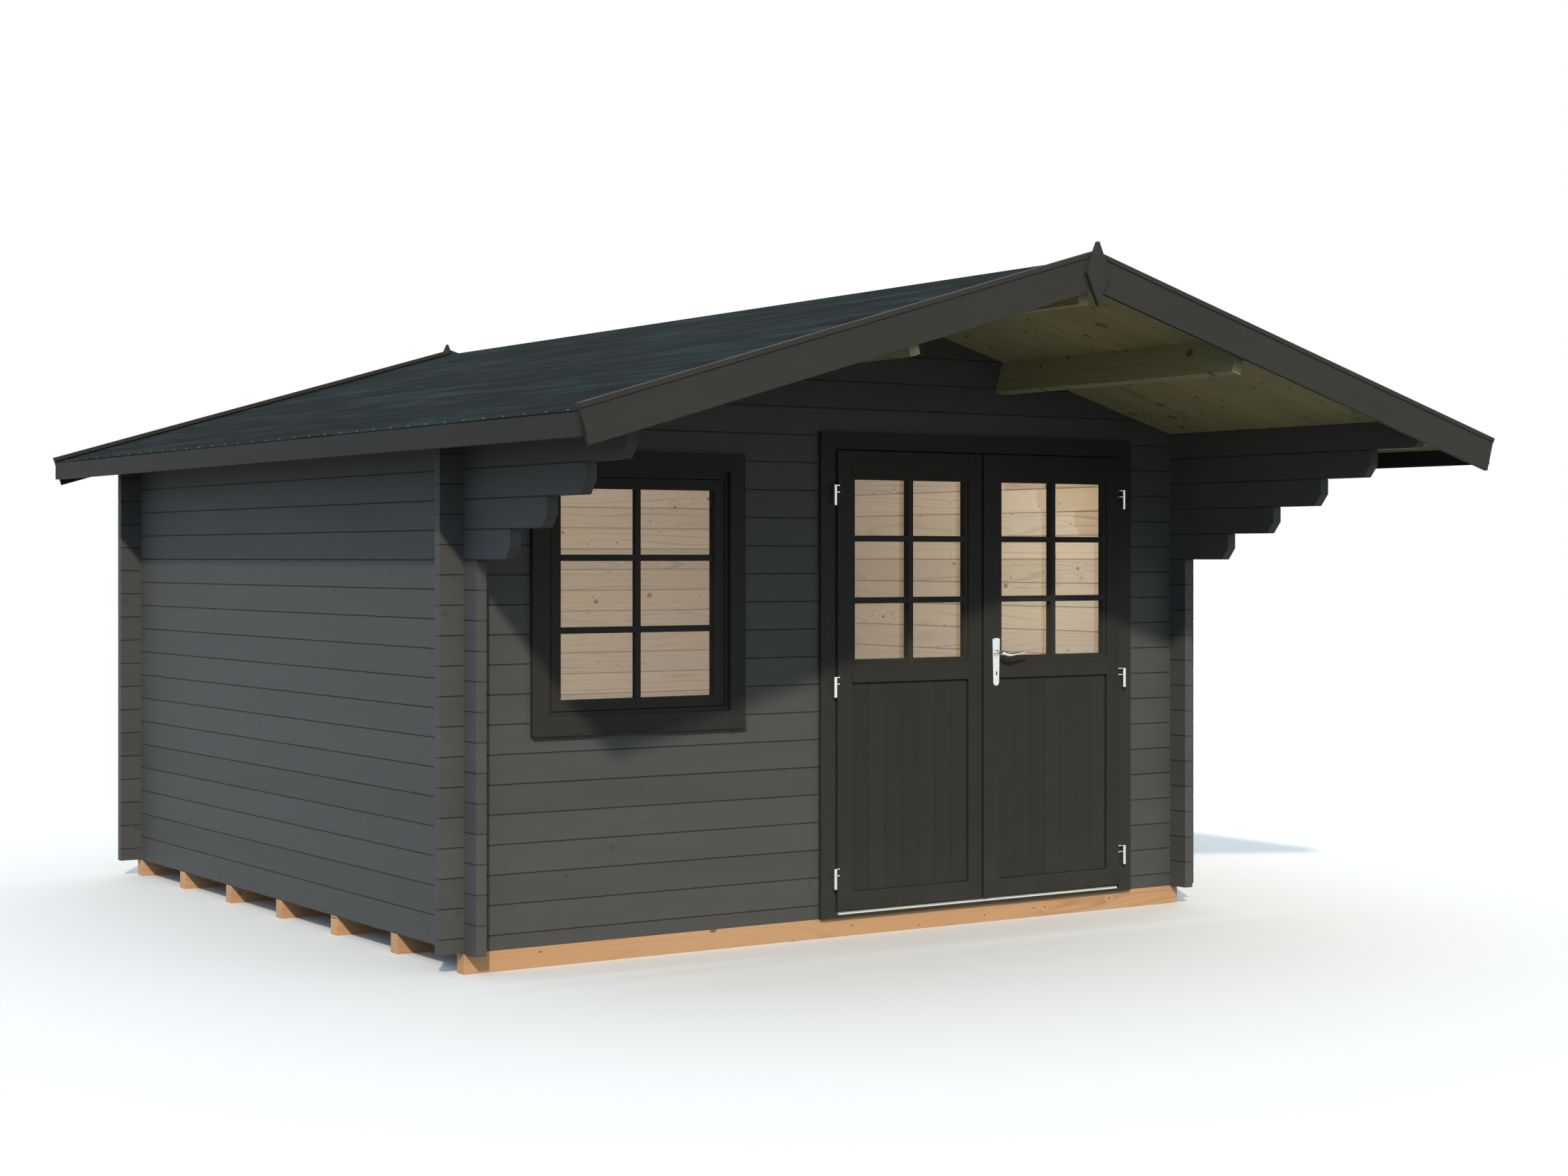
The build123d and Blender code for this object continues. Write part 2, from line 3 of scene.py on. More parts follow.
import bmesh
import bpy
from bpy.props import FloatProperty, FloatVectorProperty, IntProperty, PointerProperty
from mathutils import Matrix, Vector


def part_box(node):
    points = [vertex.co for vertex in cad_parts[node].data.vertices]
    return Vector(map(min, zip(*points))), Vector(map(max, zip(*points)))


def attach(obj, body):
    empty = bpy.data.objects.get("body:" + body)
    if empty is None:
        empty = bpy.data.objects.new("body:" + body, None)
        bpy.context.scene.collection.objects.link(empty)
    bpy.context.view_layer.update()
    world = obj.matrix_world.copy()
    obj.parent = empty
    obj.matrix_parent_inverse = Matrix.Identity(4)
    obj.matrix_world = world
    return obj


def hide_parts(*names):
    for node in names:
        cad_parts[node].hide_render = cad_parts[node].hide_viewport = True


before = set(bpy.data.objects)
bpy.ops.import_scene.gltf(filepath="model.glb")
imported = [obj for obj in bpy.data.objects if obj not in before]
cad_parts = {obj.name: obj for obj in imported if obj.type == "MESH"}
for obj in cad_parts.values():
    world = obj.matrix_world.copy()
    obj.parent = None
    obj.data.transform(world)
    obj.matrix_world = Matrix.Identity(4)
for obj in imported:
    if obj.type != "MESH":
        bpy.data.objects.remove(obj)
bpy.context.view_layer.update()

bl_info = {
    "name": "Garden log cabin",
    "version": (1, 0, 0),
    "blender": (4, 5, 0),
    "location": "3D View > Sidebar > Log cabin",
    "description": "Boards, joinery, felt, fittings and finishes for the log cabin, with a studio around it",
    "category": "Object",
}

# Metres, as the frame has them
WALL_HALF = 1.8
LOG_THICK = 0.044
LOG_COVER = 0.114
FOOT = 0.08
PITCH = math.radians(16.3)
SIDES = ((-1, "left"), (1, "right"))
ENDS = ("front", "rear")
AXES = {"X": (1, 0, 0), "Y": (0, 1, 0), "Z": (0, 0, 1)}
FINE_EDGE = 0.001
LAP = 0.001  # of a moulding into the board behind it
TONE_STEP = 0.618034  # spreads the tones of boards that follow each other

# Boards
ROOF_BOARD_THICK = 0.018
ROOF_BOARD_GAP = 0.0003
FLOOR_STOP = 0.005  # between the door frame and the floor boards
BEARER_WIDTH = 0.06
BEARER_EDGE = 0.0015
BEARER_COUNT = 7

# Leaves and window
MOULDING_PROUD = 0.005
MOULDING_HEIGHT = 0.04
BEAD = 0.017
BAR = 0.025
BEAD_RECESS = 0.006
BAR_RECESS = 0.004
PANEL_GAP = 0.0025
PLANK_GAP = 0.0002
CASING_WIDTH = 0.072
CASING_THICK = 0.02
DRIP_HEIGHT = 0.009

# Fixings, and how far the felt's nails and the plates' screws stand from an end
HEAD_RADIUS = 0.0038
NAIL_STAND = 0.0012
SCREW_STAND = 0.0010
NAIL_INSET = 0.022
SCREW_FOOT = 0.021
SCREW_TOP = 0.019

# Levers
LEVER_RADIUS = 0.008
LEVER_HEIGHT = 0.143  # above the plates' foot
PLATE_THICK = 0.006
GRIP_OUT = 0.054
LEVER_SIDES = 20
COLLAR_SIDES = 28

# Along, out, up and radius of the neck's stations; along, up and radius of the grip's; out and
# radius of the collar's
NECK_STATIONS = (
    (0, 0.0003, 0, LEVER_RADIUS),
    (0, 0.040, 0, LEVER_RADIUS),
    (0.0015, 0.048, -0.0005, 0.0082),
    (0.007, GRIP_OUT, -0.002, 0.0086),
)
LEVER_STATIONS = (
    (0.018, -0.0050, 0.0088),
    (0.030, -0.0078, 0.0084),
    (0.045, -0.0082, 0.0072),
    (0.060, -0.0066, 0.0060),
    (0.078, -0.0032, 0.0050),
    (0.095, 0.0002, 0.0044),
    (0.110, 0.0025, 0.0040),
    (0.122, 0.0030, 0.0038),
    (0.128, 0.0020, 0.0034),
    (0.131, 0.0002, 0.0022),
)
COLLAR_STATIONS = ((0.0062, 0.0125), (0.0105, 0.0125), (0.0120, 0.0115), (0.0125, 0.0090))


class CabinSizes(bpy.types.PropertyGroup):
    roof_boards: IntProperty(
        name="Roof boards", description="Boards side by side on each slope", default=60, min=10
    )
    floor_boards: IntProperty(
        name="Floor boards", description="Boards side by side across the floor", default=40, min=10
    )
    panel_planks: IntProperty(
        name="Door planks", description="Upright planks in the lower part of a leaf", default=7, min=3
    )
    joint: FloatProperty(
        name="Board joint", description="Depth of the V between two boards", default=0.003, unit="LENGTH"
    )
    edge: FloatProperty(
        name="Sanded edge", description="Rounding of the joinery's edges", default=0.0015, unit="LENGTH"
    )
    clout_spacing: FloatProperty(
        name="Felt nail spacing",
        description="Between nails along the felt's edge",
        default=0.15,
        unit="LENGTH",
    )


class CabinColours(bpy.types.PropertyGroup):
    wall: FloatVectorProperty(
        name="Wall paint",
        description="Paint on the outside of the logs",
        default=(0.094, 0.096, 0.096),
        subtype="COLOR",
    )
    trim: FloatVectorProperty(
        name="Trim paint",
        description="Paint on doors, window, barge boards and eaves",
        default=(0.041, 0.041, 0.038),
        subtype="COLOR",
    )
    spruce: FloatVectorProperty(
        name="Spruce",
        description="Early wood of the unpainted boards and logs",
        default=(0.60, 0.48, 0.345),
        subtype="COLOR",
    )
    # Darker and greener than the spruce: partly the green tinge of treated timber, partly painted shade and
    # a painted green bounce under the roof.
    soffit_tint_and_shade: FloatVectorProperty(
        name="Roof boards",
        description="Early wood of the boards and purlins under the roof",
        default=(0.38, 0.36, 0.21),
        subtype="COLOR",
    )
    bearer: FloatVectorProperty(
        name="Bearers",
        description="Early wood of the bearers on the ground",
        default=(0.70, 0.415, 0.22),
        subtype="COLOR",
    )
    felt: FloatVectorProperty(
        name="Felt",
        description="Mineral surface of the roofing felt",
        default=(0.0105, 0.0135, 0.0155),
        subtype="COLOR",
    )
    metal: FloatVectorProperty(
        name="Fittings",
        description="Plated steel of hinges and handle",
        default=(0.88, 0.87, 0.84),
        subtype="COLOR",
    )


# Nodes


def feed(tree, target, values):
    """Links or sets a node's inputs."""
    for key, value in values.items():
        if isinstance(value, bpy.types.NodeSocket):
            tree.links.new(value, target.inputs[key])
        else:
            target.inputs[key].default_value = value


def node(tree, kind, values=None, **settings):
    """Adds a node with its settings, and its inputs either linked or set."""
    made = tree.nodes.new(kind)
    for key, value in settings.items():
        setattr(made, key, value)
    feed(tree, made, values or {})
    return made


def arithmetic(tree, operation, *values):
    """A Math node's result for these sockets or numbers."""
    return node(tree, "ShaderNodeMath", dict(enumerate(values)), operation=operation).outputs[0]


def times(tree, first, second):
    """The product of two sockets or numbers."""
    return arithmetic(tree, "MULTIPLY", first, second)


def plus(tree, first, second):
    """The sum of two sockets or numbers."""
    return arithmetic(tree, "ADD", first, second)


def highest(tree, first, second):
    """The larger of two sockets or numbers."""
    return arithmetic(tree, "MAXIMUM", first, second)


def vectors(tree, operation, *values):
    """A Vector Math node's vector for these sockets or vectors."""
    return node(tree, "ShaderNodeVectorMath", dict(enumerate(values)), operation=operation).outputs[0]


def stretch(tree, vector, factors):
    """A vector multiplied by a factor along each axis."""
    return vectors(tree, "MULTIPLY", vector, factors)


def split(tree, vector):
    """A vector's three numbers."""
    return node(tree, "ShaderNodeSeparateXYZ", {0: vector}).outputs


def object_place(tree):
    """Object coordinates."""
    return node(tree, "ShaderNodeTexCoord").outputs["Object"]


def blend(tree, factor, first, second, kind="MIX"):
    """Two colours mixed by a factor."""
    values = {0: factor, 6: rgba(first), 7: rgba(second)}
    return node(tree, "ShaderNodeMix", values, data_type="RGBA", blend_type=kind).outputs[2]


def rgba(colour):
    """A colour with its alpha, or a socket as it is."""
    if isinstance(colour, bpy.types.NodeSocket):
        return colour
    return (*colour, 1)


def scaled(colour, *factors):
    """A colour times one factor, or times one for each channel."""
    return tuple(c * f for c, f in zip(colour, factors * 3))


def ranged(tree, value, low, high, to_low=0.0, to_high=1.0):
    """A value mapped from one range to another and kept within it."""
    return node(tree, "ShaderNodeMapRange", {0: value, 1: low, 2: high, 3: to_low, 4: to_high}).outputs[0]


def noise(tree, vector, scale, detail=2.0, roughness=0.5):
    """A noise texture's value at a vector."""
    values = {"Vector": vector, "Scale": scale, "Detail": detail, "Roughness": roughness}
    return node(tree, "ShaderNodeTexNoise", values).outputs[0]


def shader_group(name, outputs, numbers=None):
    """A new group that takes a vector and numbers; returns its tree, inputs and output node."""
    tree = bpy.data.node_groups.new(name, "ShaderNodeTree")
    tree.interface.new_socket("Vector", in_out="INPUT", socket_type="NodeSocketVector")
    for label, value in (numbers or {}).items():
        socket = tree.interface.new_socket(label, in_out="INPUT", socket_type="NodeSocketFloat")
        socket.default_value = value
    for label in outputs:
        tree.interface.new_socket(label, in_out="OUTPUT", socket_type="NodeSocketFloat")
    entry = tree.nodes.new("NodeGroupInput").outputs
    leave = tree.nodes.new("NodeGroupOutput")
    return tree, entry, leave


def use(tree, group, values=None):
    """A node that uses a shared group; returns its outputs."""
    return node(tree, "ShaderNodeGroup", values, node_tree=bpy.data.node_groups[group]).outputs


def build_wood_figure():
    """Growth lines and knots of sawn spruce. X runs along the grain and Y across the face, in metres."""
    numbers = {"Seed": 0.0, "Knot size": 1.0}
    tree, entry, leave = shader_group("WoodFigure", ("Lines", "Knots", "Broad"), numbers)
    aside = {0: times(tree, entry["Seed"], 41.7), 1: times(tree, entry["Seed"], 3.1)}
    shift = node(tree, "ShaderNodeCombineXYZ", aside).outputs[0]
    place = vectors(tree, "ADD", entry["Vector"], shift)
    squeezed = stretch(tree, place, (0.8, 1.0, 1.0))
    knots = None
    pull = None
    # Cells to the metre, smallest and largest radius in metres, and the share of cells with a knot
    for scale, small, large, share in ((3.4, 0.006, 0.014, 0.5), (7.0, 0.0028, 0.0056, 0.7)):
        values = {"Vector": squeezed, "Scale": scale}
        cell = node(tree, "ShaderNodeTexVoronoi", values, feature="F1", voronoi_dimensions="2D").outputs
        pick = node(tree, "ShaderNodeSeparateColor", {0: cell["Color"]}).outputs
        chosen = arithmetic(tree, "LESS_THAN", pick[0], share)
        radius = ranged(tree, pick[1], 0.0, 1.0, small * scale, large * scale)
        radius = times(tree, radius, entry["Knot size"])
        inside = arithmetic(tree, "DIVIDE", cell["Distance"], radius)
        wave = arithmetic(tree, "SINE", times(tree, inside, 11.0))
        rings = ranged(tree, wave, -1.0, 1.0, 0.5)
        core = times(tree, ranged(tree, inside, 0.75, 1.1, 1.0, 0.0), rings)
        core = times(tree, core, chosen)
        around = times(tree, ranged(tree, inside, 1.0, 4.5, 1.0, 0.0), chosen)
        knots = core if knots is None else highest(tree, knots, core)
        pull = around if pull is None else plus(tree, pull, around)
    stretched = stretch(tree, place, (0.4, 5.0, 5.0))
    wander = noise(tree, stretched, 1.0, 2.0, 0.4)
    parts = split(tree, place)
    depth = times(tree, parts[2], 90.0)
    rows = plus(tree, times(tree, parts[1], 170.0), depth)
    turns = plus(tree, rows, times(tree, wander, 70.0))
    turns = plus(tree, turns, times(tree, pull, 6.0))
    late = None
    for pace, weight in ((1.0, 1.0), (2.7, 0.6)):
        wave = arithmetic(tree, "SINE", times(tree, turns, pace))
        line = arithmetic(tree, "POWER", ranged(tree, wave, -1.0, 1.0), 14.0)
        line = times(tree, line, weight)
        late = line if late is None else highest(tree, late, line)
    patchy = ranged(tree, noise(tree, stretched, 1.7, 2.0), 0.35, 0.65, 0.15, 1.0)
    fibre = noise(tree, stretch(tree, place, (9.0, 420.0, 420.0)), 1.0, 2.0)
    lines = times(tree, late, patchy)
    lines = plus(tree, lines, times(tree, fibre, 0.14))
    broad = noise(tree, stretch(tree, place, (1.1, 6.0, 6.0)), 1.0, 3.0)
    feed(tree, leave, {"Lines": lines, "Knots": knots, "Broad": broad})


def build_course_tone():
    """A number for each log of a wall, from its height, and the dark line between two logs."""
    tree, entry, leave = shader_group("CourseTone", ("Tone", "Joint"), {"First joint": 0.0})
    height = split(tree, entry["Vector"])[2]
    raised = arithmetic(tree, "SUBTRACT", height, entry["First joint"])
    course = arithmetic(tree, "FLOOR", arithmetic(tree, "DIVIDE", raised, LOG_COVER))
    tone = node(tree, "ShaderNodeTexWhiteNoise", {"W": course}, noise_dimensions="1D").outputs[0]
    nearest = arithmetic(tree, "PINGPONG", raised, LOG_COVER / 2)
    feed(tree, leave, {"Tone": tone, "Joint": ranged(tree, nearest, 0.0012, 0.0042, 1.0, 0.0)})


def build_paint_film():
    """Brushed paint: slow drifts of colour, and a fine skin for the bump."""
    tree, entry, leave = shader_group("PaintFilm", ("Drift", "Skin"))
    drift = noise(tree, stretch(tree, entry["Vector"], (1.4, 9.0, 9.0)), 1.0, 4.0, 0.6)
    skin = noise(tree, stretch(tree, entry["Vector"], (60.0, 700.0, 700.0)), 1.0, 3.0)
    feed(tree, leave, {"Drift": drift, "Skin": skin})


def build_settled_dust():
    """Dust on faces that look up and near the foot of the walls."""
    tree, entry, leave = shader_group("SettledDust", ("Dust",))
    normal = node(tree, "ShaderNodeNewGeometry").outputs["Normal"]
    up = ranged(tree, split(tree, normal)[2], 0.3, 0.95)
    splash = ranged(tree, split(tree, entry["Vector"])[2], 0.08, 0.45, 0.35, 0.0)
    patch = ranged(tree, noise(tree, entry["Vector"], 9.0, 5.0, 0.65), 0.35, 0.75)
    feed(tree, leave, {"Dust": times(tree, highest(tree, up, splash), patch)})


def build_felt_surface():
    """Mineral granules with long streaks along the roof."""
    tree, entry, leave = shader_group("FeltSurface", ("Streaks", "Granules", "Height"))
    place = entry["Vector"]
    broad = noise(tree, stretch(tree, place, (5.0, 0.9, 2.0)), 1.0, 3.0)
    long = noise(tree, stretch(tree, place, (17.0, 1.5, 5.0)), 1.0, 5.0, 0.62)
    fine = noise(tree, stretch(tree, place, (80.0, 5.0, 20.0)), 1.0, 3.0)
    streaks = times(tree, ranged(tree, long, 0.42, 0.66), ranged(tree, fine, 0.3, 0.6, 0.35, 1.0))
    streaks = times(tree, streaks, ranged(tree, broad, 0.35, 0.6, 0.3, 1.0))
    grains = node(tree, "ShaderNodeTexVoronoi", {"Vector": place, "Scale": 520.0}).outputs
    pick = node(tree, "ShaderNodeSeparateColor", {0: grains["Color"]}).outputs[0]
    height = plus(tree, times(tree, grains["Distance"], -0.3), noise(tree, place, 3.5))
    feed(tree, leave, {"Streaks": streaks, "Granules": pick, "Height": height})


def build_brushed_metal():
    """Polishing lines and faint handling marks on plated steel."""
    tree, entry, leave = shader_group("BrushedMetal", ("Marks", "Height"))
    marks = noise(tree, entry["Vector"], 90.0, 5.0, 0.6)
    lines = noise(tree, stretch(tree, entry["Vector"], (2500.0, 2500.0, 120.0)), 1.0)
    feed(tree, leave, {"Marks": marks, "Height": lines})


# Materials


def material(name, strength, distance):
    """A new material's tree, its Principled BSDF and a bump node that feeds it."""
    made = bpy.data.materials.new(name)
    made.use_nodes = True
    tree = made.node_tree
    shader = tree.nodes["Principled BSDF"]
    bump = node(tree, "ShaderNodeBump", {"Strength": strength, "Distance": distance})
    feed(tree, shader, {"Normal": bump.outputs[0]})
    return tree, shader, bump


def swizzled(tree, place, axis):
    """Object coordinates with X along the grain, for logs that run along an axis."""
    order = {"X": (0, 2, 1), "Y": (1, 2, 0)}[axis]
    parts = split(tree, place)
    values = {index: parts[number] for index, number in enumerate(order)}
    return node(tree, "ShaderNodeCombineXYZ", values).outputs[0]


def attribute(tree, name, output):
    """A mesh attribute's output."""
    return node(tree, "ShaderNodeAttribute", attribute_name=name).outputs[output]


def board_figure(tree, knot_size=1.0):
    """A board's own tone, its place along the grain and its figure."""
    along = attribute(tree, "grain", "Vector")
    tone = attribute(tree, "tone", "Fac")
    return tone, along, use(tree, "WoodFigure", {"Vector": along, "Seed": tone, "Knot size": knot_size})


def spruce_colour(tree, light, figure, tone):
    """Unpainted spruce: early wood, darker growth lines, and knots."""
    late = scaled(light, 0.66, 0.52, 0.38)
    knot = scaled(light, 0.20, 0.11, 0.06)
    warm = scaled(light, 0.97, 0.90, 0.80)
    body = blend(tree, ranged(tree, figure["Lines"], 0.05, 1.0, 0.0, 0.85), light, late)
    body = blend(tree, ranged(tree, figure["Broad"], 0.35, 0.7, 0.0, 0.6), body, warm)
    values = {0: body, "Scale": ranged(tree, tone, 0.0, 1.0, 0.88, 1.08)}
    body = node(tree, "ShaderNodeVectorMath", values, operation="SCALE").outputs[0]
    return blend(tree, figure["Knots"], body, knot)


def drifting_paint(tree, film, tone, low, high):
    """Paint between two colours, by its slow drift and the board's tone."""
    drift = ranged(tree, film["Drift"], 0.3, 0.7)
    return blend(tree, plus(tree, times(tree, drift, 0.5), times(tree, tone, 0.5)), low, high)


def painted_log(name, axis, first_joint, colours):
    """Paint on the weather side of a log wall, bare spruce on its room side."""
    tree, shader, bump = material(name, 0.5, 0.0006)
    place = object_place(tree)
    along = swizzled(tree, place, axis)
    course = use(tree, "CourseTone", {"Vector": place, "First joint": first_joint})
    tone = course["Tone"]
    figure = use(tree, "WoodFigure", {"Vector": along, "Seed": tone})
    film = use(tree, "PaintFilm", {"Vector": along})
    dust = use(tree, "SettledDust", {"Vector": place})["Dust"]
    size = split(tree, vectors(tree, "ABSOLUTE", place))
    inner = WALL_HALF - LOG_THICK / 2
    across, back = (arithmetic(tree, "LESS_THAN", size[number], inner) for number in (0, 1))
    indoors = times(tree, across, back)
    low = scaled(colours.wall, 0.90)
    paint = drifting_paint(tree, film, tone, low, scaled(colours.wall, 1.10))
    paint = blend(tree, times(tree, figure["Knots"], 0.25), paint, low, "MULTIPLY")
    paint = blend(tree, times(tree, dust, 0.25), paint, (0.22, 0.20, 0.17))
    bare = spruce_colour(tree, colours.spruce, figure, tone)
    surface = blend(tree, indoors, paint, bare)
    shut = times(tree, course["Joint"], 0.65)
    gloss = ranged(tree, film["Drift"], 0.2, 0.8, 0.46, 0.62)
    values = {
        "Base Color": blend(tree, shut, surface, (0.35, 0.30, 0.26), "MULTIPLY"),
        "Roughness": highest(tree, gloss, times(tree, indoors, 0.68)),
        "Specular IOR Level": 0.06,
    }
    feed(tree, shader, values)
    relief = plus(tree, times(tree, figure["Lines"], 0.6), film["Skin"])
    relief = arithmetic(tree, "SUBTRACT", relief, times(tree, figure["Knots"], 0.5))
    feed(tree, bump, {"Height": relief})


def painted_joinery(name, colours):
    """Paint over planed joinery, whose grain and tone come with each board."""
    tree, shader, bump = material(name, 0.45, 0.0005)
    tone, along, figure = board_figure(tree)
    film = use(tree, "PaintFilm", {"Vector": along})
    dust = use(tree, "SettledDust", {"Vector": object_place(tree)})["Dust"]
    paint = drifting_paint(tree, film, tone, scaled(colours.trim, 0.88), scaled(colours.trim, 1.12))
    values = {
        "Base Color": blend(tree, times(tree, dust, 0.22), paint, (0.20, 0.19, 0.17)),
        "Roughness": ranged(tree, film["Drift"], 0.2, 0.8, 0.48, 0.62),
        "Specular IOR Level": 0.04,
    }
    feed(tree, shader, values)
    feed(tree, bump, {"Height": plus(tree, times(tree, figure["Lines"], 0.5), film["Skin"])})


def bare_wood(name, light, roughness, knot_size):
    """Unpainted planed boards, whose grain and tone come with each board."""
    tree, shader, bump = material(name, 0.5, 0.0005)
    tone, along, figure = board_figure(tree, knot_size)
    dust = use(tree, "SettledDust", {"Vector": object_place(tree)})["Dust"]
    colour = spruce_colour(tree, light, figure, tone)
    values = {
        "Base Color": blend(tree, times(tree, dust, 0.2), colour, (0.35, 0.32, 0.28)),
        "Roughness": ranged(tree, figure["Lines"], 0.0, 1.0, roughness, roughness - 0.12),
        "Specular IOR Level": 0.3,
    }
    feed(tree, shader, values)
    feed(tree, bump, {"Height": figure["Lines"]})


def felt(name, colours):
    """Mineral-faced roofing felt."""
    tree, shader, bump = material(name, 0.6, 0.0015)
    surface = use(tree, "FeltSurface", {"Vector": object_place(tree)})
    low = scaled(colours.felt, 0.7)
    colour = blend(tree, surface["Streaks"], low, scaled(colours.felt, 2.9, 4.4, 4.3))
    speck = ranged(tree, surface["Granules"], 0.0, 1.0, 0.0, 0.5)
    values = {
        "Base Color": blend(tree, speck, colour, low),
        "Roughness": ranged(tree, surface["Granules"], 0.0, 1.0, 0.80, 0.96),
        "Specular IOR Level": 0.04,
    }
    feed(tree, shader, values)
    feed(tree, bump, {"Height": surface["Height"]})


def metal(name, colour, roughness):
    """Metal with polishing lines and handling marks."""
    tree, shader, bump = material(name, 0.15, 0.0001)
    surface = use(tree, "BrushedMetal", {"Vector": object_place(tree)})
    values = {
        "Base Color": blend(tree, surface["Marks"], colour, scaled(colour, 0.8)),
        "Roughness": ranged(tree, surface["Marks"], 0.3, 0.7, roughness, roughness + 0.14),
        "Metallic": 1.0,
    }
    feed(tree, shader, values)
    feed(tree, bump, {"Height": surface["Height"]})


def pane(name):
    """Clear float glass that lets light into the room, with a faint film of dust."""
    tree, shader, bump = material(name, 0.1, 0.0004)
    place = object_place(tree)
    values = {
        "Base Color": (0.96, 0.98, 0.97, 1),
        "Transmission Weight": 1.0,
        "IOR": 1.5,
        "Roughness": ranged(tree, noise(tree, place, 14.0, 5.0, 0.6), 0.3, 0.8, 0.0, 0.035),
    }
    feed(tree, shader, values)
    feed(tree, bump, {"Height": noise(tree, place, 2.0, 1.0)})
    path = node(tree, "ShaderNodeLightPath").outputs
    through = highest(tree, path["Is Shadow Ray"], path["Is Diffuse Ray"])
    clear = node(tree, "ShaderNodeBsdfTransparent").outputs[0]
    both = node(tree, "ShaderNodeMixShader", {0: through, 1: shader.outputs[0], 2: clear}).outputs[0]
    feed(tree, tree.nodes["Material Output"], {"Surface": both})


def build_materials(colours):
    """Every finish, by name."""
    painted_log("side_log_finish", "Y", FOOT, colours)
    painted_log("end_log_finish", "X", FOOT + LOG_COVER / 2, colours)
    painted_joinery("joinery_finish", colours)
    bare_wood("spruce_finish", tuple(colours.spruce), 0.62, 1.0)
    # The roof boards and purlins carry painted shade and a painted green bounce, besides the tinge of
    # treated timber.
    bare_wood("soffit_finish", tuple(colours.soffit_tint_and_shade), 0.66, 1.9)
    bare_wood("bearer_finish", tuple(colours.bearer), 0.64, 1.2)
    felt("felt_finish", colours)
    metal("fitting_finish", tuple(colours.metal), 0.22)
    metal("nail_finish", (0.42, 0.43, 0.44), 0.5)
    metal("threshold_finish", (0.95, 0.95, 0.88), 0.5)
    pane("pane_finish")


# Meshes


def grain_axes(along, flat=False):
    """Directions along the grain, across a board's face and into it; a flat board's face looks up."""
    along = Vector(along).normalized()
    upright = Vector((0, 0, 1)) if abs(along.z) < 0.9 else Vector((1, 0, 0))
    across = (upright - along * along.dot(upright)).normalized()
    third = along.cross(across)
    if flat:
        return along, third, across
    return along, across, third


def rounded(shape, edges, width):
    """Rounds these edges of a mesh."""
    settings = {"segments": 2, "profile": 0.5, "affect": "EDGES", "clamp_overlap": True}
    bmesh.ops.bevel(shape, geom=edges, offset=width, **settings)


def grained(shape, along, value, flat=False):
    """Gives each point its place along the grain and the board's tone."""
    grain = shape.verts.layers.float_vector.new("grain")
    tone = shape.verts.layers.float.new("tone")
    along, across, third = grain_axes(along, flat)
    for vert in shape.verts:
        vert[grain] = (vert.co.dot(along), vert.co.dot(across), vert.co.dot(third))
        vert[tone] = value


class Boards:
    """Collects sawn boards into one mesh, each with its own grain direction and tone."""

    def __init__(self, name, edge, flat=False):
        self.name = name
        self.edge = edge
        self.flat = flat
        self.count = 0
        self.mesh = bmesh.new()
        self.mesh.verts.layers.float_vector.new("grain")
        self.mesh.verts.layers.float.new("tone")

    def prism(self, outline, sweep, along, edge=None):
        """Adds a board with this outline, swept by a vector, its grain along a direction."""
        piece = bmesh.new()
        face = piece.faces.new([piece.verts.new(point) for point in outline])
        swept = bmesh.ops.extrude_face_region(piece, geom=[face])["geom"]
        moved = [item for item in swept if isinstance(item, bmesh.types.BMVert)]
        bmesh.ops.translate(piece, vec=Vector(sweep), verts=moved)
        bmesh.ops.recalc_face_normals(piece, faces=piece.faces[:])
        width = self.edge if edge is None else edge
        if width > 0:
            rounded(piece, piece.edges[:], width)
        self.count += 1
        grained(piece, along, (self.count * TONE_STEP) % 1.0, self.flat)
        part = bpy.data.meshes.new("board")
        piece.to_mesh(part)
        piece.free()
        self.mesh.from_mesh(part)
        bpy.data.meshes.remove(part)

    def block(self, low, high, along, edge=None):
        """Adds a board between two opposite corners, its grain along "X", "Y" or "Z"."""
        x0, y0, z0 = low
        x1, y1, z1 = high
        outline = ((x0, y0, z0), (x1, y0, z0), (x1, y0, z1), (x0, y0, z1))
        self.prism(outline, (0, y1 - y0, 0), AXES[along], edge)

    def ring(self, low, high, width, edge=None):
        """Adds two upright boards and two between them, round an opening."""
        x0, y0, z0 = low
        x1, y1, z1 = high
        self.block(low, (x0 + width, y1, z1), "Z", edge)
        self.block((x1 - width, y0, z0), high, "Z", edge)
        self.block((x0 + width, y0, z0), (x1 - width, y1, z0 + width), "X", edge)
        self.block((x0 + width, y0, z1 - width), (x1 - width, y1, z1), "X", edge)

    def done(self, finish):
        """The finished object, with its material."""
        if not self.count:
            raise RuntimeError(self.name + " has no boards")
        mesh = bpy.data.meshes.new(self.name)
        self.mesh.to_mesh(mesh)
        self.mesh.free()
        mesh.materials.append(bpy.data.materials[finish])
        return placed(self.name, mesh)


def placed(name, data):
    """An object for a mesh, a lamp or a camera, in the scene."""
    made = bpy.data.objects.new(name, data)
    bpy.context.scene.collection.objects.link(made)
    return made


def settle(piece, body, slot, *nodes):
    """A finished piece rides on its body and stands for its CAD nodes; its slot is not used."""
    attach(piece, body)
    if nodes:
        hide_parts(*nodes)


def cad_object(node_name):
    """The object of a CAD node, or an error where the frame has none."""
    if node_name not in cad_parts:
        raise RuntimeError("the frame has no node " + node_name)
    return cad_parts[node_name]


def dress(node_name, finish):
    """A CAD node keeps its shape and takes a finish."""
    for slot in cad_object(node_name).material_slots:
        slot.link = "OBJECT"
        slot.material = bpy.data.materials[finish]


